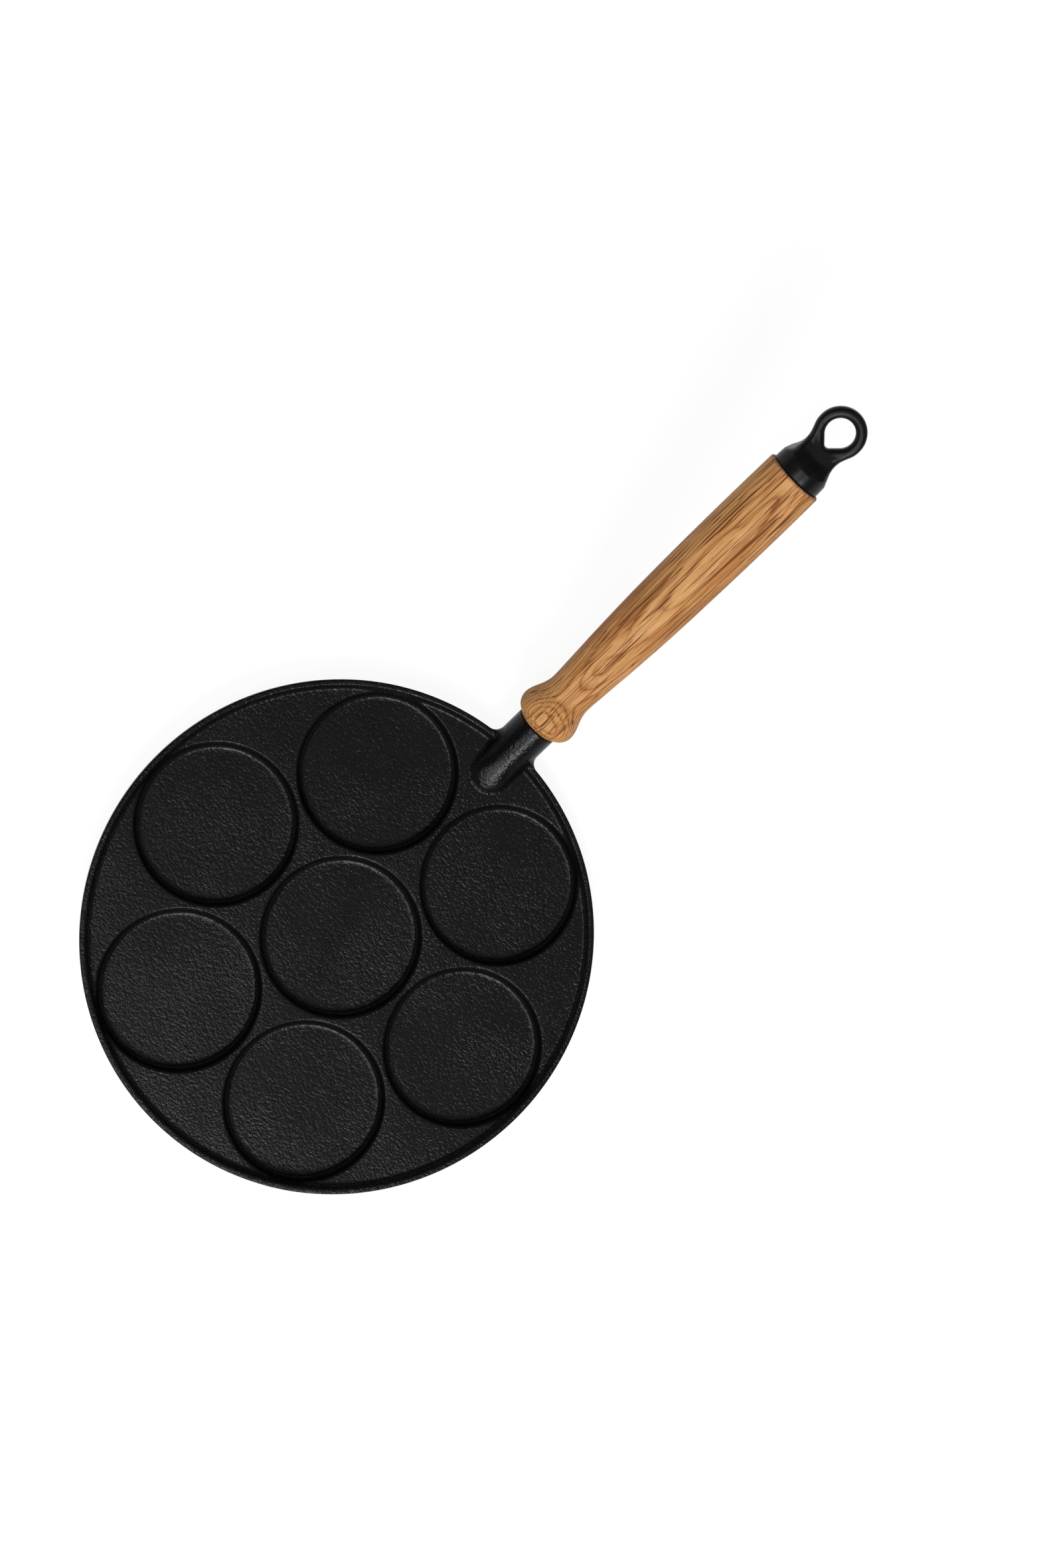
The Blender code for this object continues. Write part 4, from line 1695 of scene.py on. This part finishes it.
    def stub_rows(self, count: int, start: float, gap: float) -> Array:
        """Plan points on the stub outside the rim, in rows across it.

        Args:
            count: Points in a row.
            start, gap: Distance out of the first row, and from row to row.

        Returns:
            The points.
        """
        across = self.stub_radius * np.sin(np.radians(np.linspace(-ROW_DEGREES, ROW_DEGREES, count)))
        across, along = np.meshgrid(across, np.arange(start, self.stub_spare, gap))
        return self.inside(np.stack([along.ravel(), across.ravel()], axis=1), 0.25)

    def rim_plan(self, recesses: Array) -> Array:
        """Plan points on the rim, none of them in a recess's edge.

        Args:
            recesses: Plan points of the recesses, which stay.

        Returns:
            The points.
        """
        points = self.inside(ring_points((0, 0), self.rim_rings, self.rim_count), 0.1)
        in_edge = (self.from_recesses(points) < 37.9) & (np.hypot(*points.T) < 114.6)
        return apart(points[~in_edge], recesses, 0.12)

    def top_plan(self) -> Array:
        """Plan points of the upper surface, dense where it bends.

        Returns:
            The points: recesses, rim, the land round the stub, the stub and the land.
        """
        recesses = self.inside(np.vstack([self.top_net.points(centre) for centre in self.centres]), 0.12)
        features = np.vstack([recesses, self.rim_plan(recesses)])
        patch = honeycomb((86, -17), (124, 17), 0.5)
        patch = self.inside(patch[self.from_recesses(patch) > 38.0], 0.3)
        features = np.vstack([features, apart(patch, features, 0.3)])
        features = np.vstack([features, self.stub_rows(35, 124.4, 0.8)])
        land = honeycomb((-112, -112), (112, 112), 4.0)
        land = land[(np.hypot(*land.T) < 111.4) & (self.from_recesses(land) > 38.6)]
        return np.vstack([features, apart(land, features, 0.9)])

    def feet_plan(self) -> Array:
        """Plan points of the cups from below, each point with the cup that is nearest.

        Returns:
            The points.
        """
        parts = []
        for centre in self.centres:
            points = self.low_net.points(centre)
            parts.append(points[np.hypot(*(points - centre).T) < self.from_recesses(points) + TOUCHING])
        return self.inside(np.vstack(parts), 0.15)

    def groove_plan(self) -> Array:
        """Plan points in the grooves where two cups meet, in five lines along each groove.

        Returns:
            The points.
        """
        grooves = []
        for first, centre in enumerate(self.centres):
            for other in self.centres[first + 1 :]:
                gap = other - centre
                if np.hypot(*gap) > NEIGHBOURS * self.pitch:
                    continue
                toward = gap / np.hypot(*gap)
                side = np.array([-toward[1], toward[0]])
                run, off = np.meshgrid(np.arange(-15, 15.1, 0.6), [-0.5, -0.2, 0.0, 0.2, 0.5])
                middle = (centre + other) / 2
                grooves.append(middle + run.reshape(-1, 1) * side + off.reshape(-1, 1) * toward)
        return self.inside(np.vstack(grooves), 0.15)

    def bottom_plan(self) -> Array:
        """Plan points of the under surface, dense at the feet, their fillets and the grooves.

        Returns:
            The points: feet, grooves, the plate round the stub, the stub and the plate.
        """
        grooves = self.groove_plan()
        features = np.vstack([apart(self.feet_plan(), grooves, 0.12), grooves])
        patch = self.inside(honeycomb((90, -17), (124, 17), 0.7), 0.3)
        features = np.vstack([features, apart(patch, features, 0.3)])
        features = np.vstack([features, self.stub_rows(29, 124.6, 1.0)])
        plate = honeycomb((-116, -116), (116, 116), 3.0)
        plate = self.inside(plate[self.from_recesses(plate) > 41.0], 0.6)
        return np.vstack([features, apart(plate, features, 0.8)])

    def skin(self) -> Skin:
        """The casting's closed surface with the bored end face of the stub.

        Returns:
            The surface in the row frame.
        """
        solid = CastSolid(self.solid, self.outline, self.inset, low=-1.0, high=34.0)
        plans = (self.top_plan(), self.bottom_plan())
        points, triangles = solid.skin([self.loop()], *plans, reach=30.0)
        cut = self.stub_end - self.stub_edge
        place = self.axis.placed(np.array([[cut, 0.0, 0.0]]))[0]
        points, triangles = cut_off(points, triangles, place, self.axis.basis[0])
        rim, angles = rim_of_cut(points, self.axis, cut, self.stub_radius)
        shell = steady_skin(points, triangles, slope_of(self.solid, points))
        flat = self.stub_radius - self.stub_edge
        edge = arc((cut, flat), self.stub_edge, 90, 0, 6)
        face = np.array([[self.stub_end, flat], [self.stub_end, self.bore_radius]])
        deep = self.stub_end - self.bore_depth
        bore = np.array([[self.stub_end, self.bore_radius], [deep, self.bore_radius]])
        floor = np.array([[deep, self.bore_radius], [deep, 0.0]])
        end = turned_skin([edge, face, bore, floor], angles, len(points), first=rim)
        return shell.joined(self.axis.carried(end))

    def build(self, material: Material) -> bpy.types.Object:
        """Makes the piece."""
        return make_piece("iron_pan", self.skin(), material, ["pan_casting"])


@dataclass
class OakGrip:
    """The turned grip: a bulb at the pan's end, a neck, a long swelling body and a bore.

    Attributes:
        axis: The handle's axis.
        start: Place of the face at the pan's end.
        stop: Place of the face at the loop's end.
        nose: How far the first round of that end goes in and out.
        around: Vertices round the grip.
        near_rows, far_rows: Rows of vertices on the bulb and the neck, and on the body.
        body_start: Place at which the body's wider rows start.
        stations: Places along the axis and radii of the turned profile.
    """

    axis: HandleAxis
    start: float = 16.5
    stop: float = 180.3
    face_radius: float = 9.8
    nose: Pair = (0.25, 0.55)
    bore_radius: float = 3.3
    end_round: float = 0.9
    around: int = 168
    near_rows: int = 64
    far_rows: int = 60
    body_start: float = 40.0
    stations: Stations = (
        (17.6, 11.3), (19.1, 13.2), (21.2, 14.5), (23.9, 14.95), (27.0, 14.4),
        (30.2, 13.15), (33.4, 11.97), (38.5, 11.1), (48.9, 11.6), (67.3, 12.65),
        (91.6, 13.65), (115.6, 14.1), (152.5, 14.3), (179.3, 14.1),
    )

    def skin(self) -> Skin:
        """The grip as one closed profile turned round the axis.

        Returns:
            The surface in the row frame.
        """
        begin = (self.start, self.face_radius)
        shoulder = (self.start + self.nose[0], self.face_radius + self.nose[1])
        first, last = self.stations[0], self.stations[-1]
        near = np.linspace(first[0], self.body_start, self.near_rows)[1:]
        far = np.linspace(self.body_start, last[0], self.far_rows)[1:]
        along = np.concatenate([near, far])
        swell = np.stack([along, smooth_profile(self.stations, along)], axis=1)
        corner = (self.stop - self.end_round, swell[-1, 1] - self.end_round)
        tip = arc(corner, self.end_round, 88, 0, 9)
        outer = np.vstack([begin, shoulder, first, swell, tip])
        end_face = np.array([tip[-1], [self.stop, self.bore_radius]])
        bore = np.array([[self.stop, self.bore_radius], [self.start, self.bore_radius]])
        start_face = np.array([[self.start, self.bore_radius], begin])
        angles = np.arange(self.around) * (2 * np.pi / self.around)
        return self.axis.carried(turned_skin([outer, end_face, bore, start_face], angles, 0, closed=True))

    def build(self, material: Material) -> bpy.types.Object:
        """Makes the piece."""
        return make_piece("oak_grip", self.skin(), material, ["wood_grip"])


COLLAR_ROWS = (-0.55, -0.4, -0.25, -0.12, -0.02, 0.1, 0.3, 0.6, 0.95)


@dataclass
class HangingLoop:
    """The cast end piece: a round collar, coved shoulders, a flat web and a tube round the eye.

    Most fields are sizes that are named for what they measure. The others are listed.

    Attributes:
        axis: The handle's axis.
        collar_fall: How much its radius falls towards the shoulder.
        body_start: Places at which the neck and the collar begin, under the wood.
        neck_round, turned_round: Radii of the neck's edge there, and against the collar.
        eye_place, eye_reach: Place of the eye's large circle, and the way to the small one.
        tube_half_height, tube_edge: Half height of the metal at the eye, and its edges' radius.
        tube_fall: Distances from the eye between which it falls to the web.
        inset: How far the loops lie inside the outline.
        back: Place and half width of the outer loop's end under the wood.
        loop_gaps: Gaps between the points of the outer loop and of the eye's.
        half_widths, half_heights: Stations of the plan outline, and of the neck and web.
    """

    axis: HandleAxis
    start: float = 180.6
    collar_stop: float = 186.5
    collar_radius: float = 12.6
    collar_edge: float = 0.5
    collar_fall: float = 0.25
    body_start: Pair = (176.0, 174.0)
    neck_round: float = 2.0
    turned_round: float = 0.8
    web_half: float = 2.6
    eye_place: float = 207.5
    eye_radius: float = 6.75
    eye_reach: float = 6.7
    eye_tip: float = 2.0
    tube_half_height: float = 3.0
    tube_edge: float = 2.3
    tube_fall: Pair = (4.2, 6.8)
    ring_radius: float = 11.85
    bore_radius: float = 3.3
    bore_depth: float = 8.3
    inset: float = 0.8
    back: Pair = (177.3, 11.3)
    loop_gaps: Pair = (0.42, 0.36)
    half_widths: Stations = (
        (170.0, 12.6), (186.3, 12.6), (187.0, 12.05), (187.7, 11.35), (188.7, 10.75),
        (190.3, 10.05), (192.2, 9.45), (194.0, 9.09), (195.4, 9.0), (196.8, 9.07),
        (198.2, 9.28), (199.7, 9.68), (201.1, 10.2), (202.5, 10.72), (204.0, 11.22),
        (205.4, 11.52), (206.6, 11.77), (207.5, 11.85),
    )
    half_heights: Stations = (
        (170.0, 12.35), (186.3, 12.35), (187.2, 11.4), (188.6, 9.4), (190.3, 7.3),
        (192.2, 5.4), (194.0, 4.1), (196.0, 3.2), (198.5, 2.7), (201.0, 2.6),
        (225.0, 2.6),
    )

    def eye(self, along: Array, across: Array) -> Array:
        """Plan distance to the eye, negative in the hole: two circles and the lines along both.

        Args:
            along, across: Places on the axis and beside it.

        Returns:
            The distances.
        """
        away = self.eye_place - along
        side = np.abs(across)
        lean = (self.eye_radius - self.eye_tip) / self.eye_reach
        upright = math.sqrt(1 - lean * lean)
        place = upright * away - lean * side
        line = upright * side + lean * away - self.eye_radius
        large = np.hypot(side, away) - self.eye_radius
        small = np.hypot(side, away - self.eye_reach) - self.eye_tip
        return np.where(place < 0, large, np.where(place > upright * self.eye_reach, small, line))

    def profile(self, stations: Stations, along: Array) -> Array:
        """Smooth value along the loop between stations, held beyond the first and the last."""
        held = np.clip(along, stations[0][0] + 1.0, stations[-1][0])
        return smooth_profile(stations, held.ravel()).reshape(along.shape)

    def outer(self, along: Array, across: Array) -> Array:
        """Plan distance to the outer outline: the neck's half widths, then the ring's circle.

        Args:
            along, across: Places on the axis and beside it.

        Returns:
            The distances.
        """
        width = self.profile(self.half_widths, along)
        steep = (self.profile(self.half_widths, along + SMALL_STEP) - width) / SMALL_STEP
        neck = (np.abs(across) - width) / np.hypot(1.0, steep)
        neck = meet_round(neck, self.body_start[0] - along, self.neck_round)
        neck = np.maximum(neck, along - self.eye_place)
        ring = np.hypot(along - self.eye_place, across) - self.ring_radius
        return np.minimum(neck, ring)

    def outline(self, along: Array, across: Array) -> Array:
        """Plan distance to the metal's outline, the eye left out."""
        return np.maximum(self.outer(along, across), -self.eye(along, across))

    def solid(self, along: Array, across: Array, over: Array) -> Array:
        """Distance to the loop's surface, negative in the metal.

        The web's half height falls from the collar on a smooth curve and rises a little again
        round the eye. The outline's edges are round. The collar's radius falls a little towards
        the web, with the square of the place.

        Args:
            along, across, over: Places on the axis and off it.

        Returns:
            The distances.
        """
        eye = self.eye(along, across)
        outline = np.maximum(self.outer(along, across), -eye)
        height = self.profile(self.half_heights, along)
        steep = (self.profile(self.half_heights, along + SMALL_STEP) - height) / SMALL_STEP
        tube = (self.tube_half_height - self.web_half) * (1.0 - ease(eye, *self.tube_fall))
        flat = (np.abs(over) - height - tube) / np.hypot(1.0, steep)
        body = meet_round(outline, flat, self.tube_edge)
        fall = np.clip((along - self.start) / (self.collar_stop - self.start), 0, 1) ** 2
        turned = np.hypot(across, over) - self.collar_radius + self.collar_fall * fall
        body = meet_round(body, turned, self.turned_round)
        collar = meet_round(turned, along - self.collar_stop, self.collar_edge)
        collar = np.maximum(collar, self.body_start[1] - along)
        return np.minimum(body, collar)

    def loops(self) -> list[Array]:
        """Loops inside the outer outline and round the eye.

        Returns:
            The outer loop and the eye's.
        """
        inner = self.ring_radius - self.inset
        ring = self.eye_place + inner * np.sin(np.linspace(0, np.pi / 2, 200)[1:])
        along = np.concatenate([np.linspace(self.back[0], self.eye_place, 400), ring])
        width = self.profile(self.half_widths, along) - self.inset
        round_width = np.sqrt(np.maximum(inner**2 - (along - self.eye_place) ** 2, 0))
        width = np.where(along > self.eye_place, round_width, width)
        right = np.stack([along, -width], axis=1)
        left = np.stack([along, width], axis=1)[::-1][1:]
        across = np.linspace(self.back[1], -self.back[1], 42)[1:-1]
        back = np.stack([np.full(len(across), self.back[0]), across], axis=1)
        turn = np.linspace(0, -2 * np.pi, 300, endpoint=False)
        eye = np.array([205.5, 0.0]) + 7.0 * np.stack([np.cos(turn), np.sin(turn)], axis=1)
        wide, close = self.loop_gaps
        guess = np.vstack([right, left, back])
        outside = level_loop(self.outer, guess, -self.inset, lambda points: np.full(len(points), wide))
        around = level_loop(self.eye, eye, self.inset, lambda points: np.full(len(points), close))
        return [outside, around]

    def plan(self) -> Array:
        """Plan points of both faces, dense at the collar's edge and along the tube.

        Returns:
            The points.
        """
        edge = self.collar_stop + np.array(COLLAR_ROWS)
        across, along = np.meshgrid(np.linspace(-11.2, 11.2, 64), edge)
        rows = self.inner(np.stack([along.ravel(), across.ravel()], axis=1))
        patch = self.inner(honeycomb((176, -13), (221, 13), 0.4))
        return np.vstack([rows, apart(patch, rows, 0.22)])

    def inner(self, plan: Array) -> Array:
        """Keeps what lies inside both loops by a margin."""
        return plan[self.outline(*plan.T) < -self.inset - 0.2]

    def skin(self) -> Skin:
        """The loop's closed surface with the bored, softly edged face of the collar.

        Returns:
            The surface in the row frame.
        """
        solid = CastSolid(self.solid, self.outline, self.inset, low=-16.0, high=16.0, rows=19)
        plan = self.plan()
        points, triangles = solid.skin(self.loops(), plan, plan, reach=14.0)
        cut = self.start + self.collar_edge
        place, back = np.array([cut, 0.0, 0.0]), np.array([-1.0, 0.0, 0.0])
        points, triangles = cut_off(points, triangles, place, back)
        points = self.axis.placed(points)
        rim, angles = rim_of_cut(points, self.axis, cut, self.collar_radius)
        normals = self.axis.turned(slope_of(self.solid, self.axis.local(points)))
        shell = steady_skin(points, triangles, normals)
        deep = self.start + self.bore_depth
        floor = np.array([[deep, 0.0], [deep, self.bore_radius]])
        bore = np.array([[deep, self.bore_radius], [self.start, self.bore_radius]])
        flat = self.collar_radius - self.collar_edge
        face = np.array([[self.start, self.bore_radius], [self.start, flat]])
        edge = arc((cut, flat), self.collar_edge, 180, 90, 6)
        end = turned_skin([floor, bore, face, edge], angles, len(points), last=rim)
        return shell.joined(self.axis.carried(end))

    def build(self, material: Material) -> bpy.types.Object:
        """Makes the piece."""
        return make_piece("cast_loop", self.skin(), material, ["hanging_loop"])


@dataclass(frozen=True)
class Softbox:
    """A soft rectangular lamp that looks at the pan.

    Attributes:
        name: Lamp name.
        toward, distance: Direction from the pan to the lamp, and distance in metres.
        size, power: Width and height in metres, and power in watts.
        mirrored: Whether glossy surfaces mirror it, or it only fills the shade.
    """

    name: str
    toward: Triple
    distance: float
    size: Pair
    power: float
    mirrored: bool = True

    def build(self, target: Vector) -> None:
        """Makes the lamp.

        Args:
            target: What it looks at.
        """
        data = bpy.data.lights.new(self.name, "AREA")
        data.shape = "RECTANGLE"
        data.size, data.size_y = self.size
        data.energy = self.power
        lamp = bpy.data.objects.new(self.name, data)
        bpy.context.scene.collection.objects.link(lamp)
        direction = Vector(self.toward).normalized()
        lamp.location = target + direction * self.distance
        lamp.rotation_mode = "QUATERNION"
        lamp.rotation_quaternion = (-direction).to_track_quat("-Z", "Y")
        lamp.visible_camera = False
        lamp.visible_glossy = self.mirrored


@dataclass
class Studio:
    """Pale floor, soft lamps and the camera at the photograph's angle.

    Attributes:
        camera_place: Camera in the row frame, in metres.
        camera_right, camera_up: Directions of the picture's right and top.
        lens: Focal length for the long side below.
        sensor, clip: Long side of the film, and nearest and farthest distance seen.
        target: What the lamps look at.
        floor_level, floor_grey: Height of the floor, and how much light it throws back.
        floor_glow, glow_share: How bright it looks to camera and mirrors, and how much of that shows.
    """

    camera_place: Triple = (-0.0011, 0.1728, 1.0911)
    camera_right: Triple = (0.6683, -0.7188, 0.1913)
    camera_up: Triple = (0.7373, 0.6742, -0.0421)
    lens: float = 54.71
    sensor: float = 36.0
    clip: Pair = (0.05, 30.0)
    target: Triple = (0.06, 0.0, 0.01)
    lamps: tuple[Softbox, ...] = (
        Softbox("key_softbox", (-0.525, -0.400, 0.751), 3.0, (0.90, 0.75), 60.0),
        Softbox("side_softbox", (-0.462, 0.081, 0.883), 3.0, (1.0, 0.90), 27.5),
        Softbox("ceiling_panel", (0.36, -0.18, 0.92), 2.4, (1.8, 1.8), 5.6),
        Softbox("fill_softbox", (0.30, 0.75, 0.60), 2.4, (1.2, 1.2), 7.0, mirrored=False),
    )
    world_strength: float = 0.04
    floor_radius: float = 20.0
    floor_level: float = -0.0003
    wall_height: float = 3.6
    wall_sides: int = 72
    floor_grey: float = 0.86
    floor_rough: float = 0.9
    floor_glow: float = 1.05
    glow_share: float = 0.88

    def camera(self) -> None:
        """Makes the camera the scene's own."""
        data = bpy.data.cameras.new("photograph_camera")
        data.lens = self.lens
        data.sensor_width = self.sensor
        data.sensor_fit = "AUTO"
        data.clip_start, data.clip_end = self.clip
        camera = bpy.data.objects.new("photograph_camera", data)
        bpy.context.scene.collection.objects.link(camera)
        right = Vector(self.camera_right).normalized()
        up = Vector(self.camera_up)
        up = (up - right * up.dot(right)).normalized()
        turn = Matrix((right, up, right.cross(up))).transposed().to_4x4()
        camera.matrix_world = Matrix.Translation(self.camera_place) @ turn
        bpy.context.scene.camera = camera

    def floor_material(self) -> Material:
        """A pale, dull floor that camera and mirror rays see almost white.

        Returns:
            The material.
        """
        material, wiring, shader = new_material("pale_floor")
        shader.inputs["Base Color"].default_value = (*[self.floor_grey] * 3, 1.0)
        shader.inputs["Roughness"].default_value = self.floor_rough
        shader.inputs["Specular IOR Level"].default_value = 0.0
        paths = wiring.node("ShaderNodeLightPath")
        seen = wiring.math("MAXIMUM", paths.outputs["Is Camera Ray"], paths.outputs["Is Glossy Ray"])
        seen = wiring.math("MAXIMUM", seen, paths.outputs["Is Transmission Ray"])
        glow = wiring.node("ShaderNodeEmission")
        glow.inputs["Color"].default_value = (1.0, 1.0, 1.0, 1.0)
        glow.inputs["Strength"].default_value = self.floor_glow
        share = wiring.math("MULTIPLY", seen, self.glow_share)
        blend = wiring.node("ShaderNodeMixShader")
        seen = wiring.fill(blend, (share, shader.outputs[0], glow.outputs[0]))
        wiring.feed(material.node_tree.nodes["Material Output"].inputs["Surface"], seen)
        return material

    def floor(self) -> bpy.types.Object:
        """A plain pale floor just under the feet, with a low pale wall far away all round.

        The floor is a disc and the wall a ring on its edge: (R cos a, R sin a, z) for z at the
        floor and at the wall's top.

        Returns:
            The floor's object.
        """
        turn = np.arange(self.wall_sides) * (2 * np.pi / self.wall_sides)
        plan = self.floor_radius * np.stack([np.cos(turn), np.sin(turn)], axis=1)
        levels = (self.floor_level, self.wall_height)
        rings = [np.column_stack([plan, np.full(len(plan), level)]) for level in levels]
        low = np.arange(self.wall_sides)
        high, ahead = low + self.wall_sides, np.roll(low, -1)
        wall = np.stack([low, high, ahead + self.wall_sides, ahead], axis=1)
        mesh = bpy.data.meshes.new("floor")
        mesh.from_pydata(np.vstack(rings).tolist(), [], [low.tolist(), *wall.tolist()])
        mesh.materials.append(self.floor_material())
        floor = bpy.data.objects.new("floor", mesh)
        bpy.context.scene.collection.objects.link(floor)
        return floor

    def surroundings(self) -> None:
        """A dim, even grey all round."""
        world = bpy.data.worlds.new("studio")
        world.use_nodes = True
        background = world.node_tree.nodes["Background"]
        background.inputs["Color"].default_value = (1.0, 1.0, 1.0, 1.0)
        background.inputs["Strength"].default_value = self.world_strength
        bpy.context.scene.world = world

    def build(self) -> None:
        """Sets up the whole stage and the plain view transform."""
        self.surroundings()
        self.floor()
        for lamp in self.lamps:
            lamp.build(Vector(self.target))
        self.camera()
        bpy.context.scene.view_settings.view_transform = "Standard"


def corners(box: tuple[Vector, Vector]) -> list[list[float]]:
    """The two corners of a box as plain lists."""
    return [list(corner) for corner in box]


def main() -> None:
    """Builds the studio and the pan."""
    logging.basicConfig(level=logging.INFO, format="%(name)s: %(message)s", stream=sys.stdout)
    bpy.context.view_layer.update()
    axis = HandleAxis()
    Studio().build()
    skin = CastSkin().group()
    PanCasting(axis).build(PAN_IRON.material(skin))
    OakGrip(axis).build(OakFinish().material(axis))
    HangingLoop(axis).build(LOOP_IRON.material(skin))
    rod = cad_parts["tie_rod"]
    rod.data.materials.clear()
    rod.data.materials.append(SteelFinish().material())


if __name__ == "__main__":
    main()
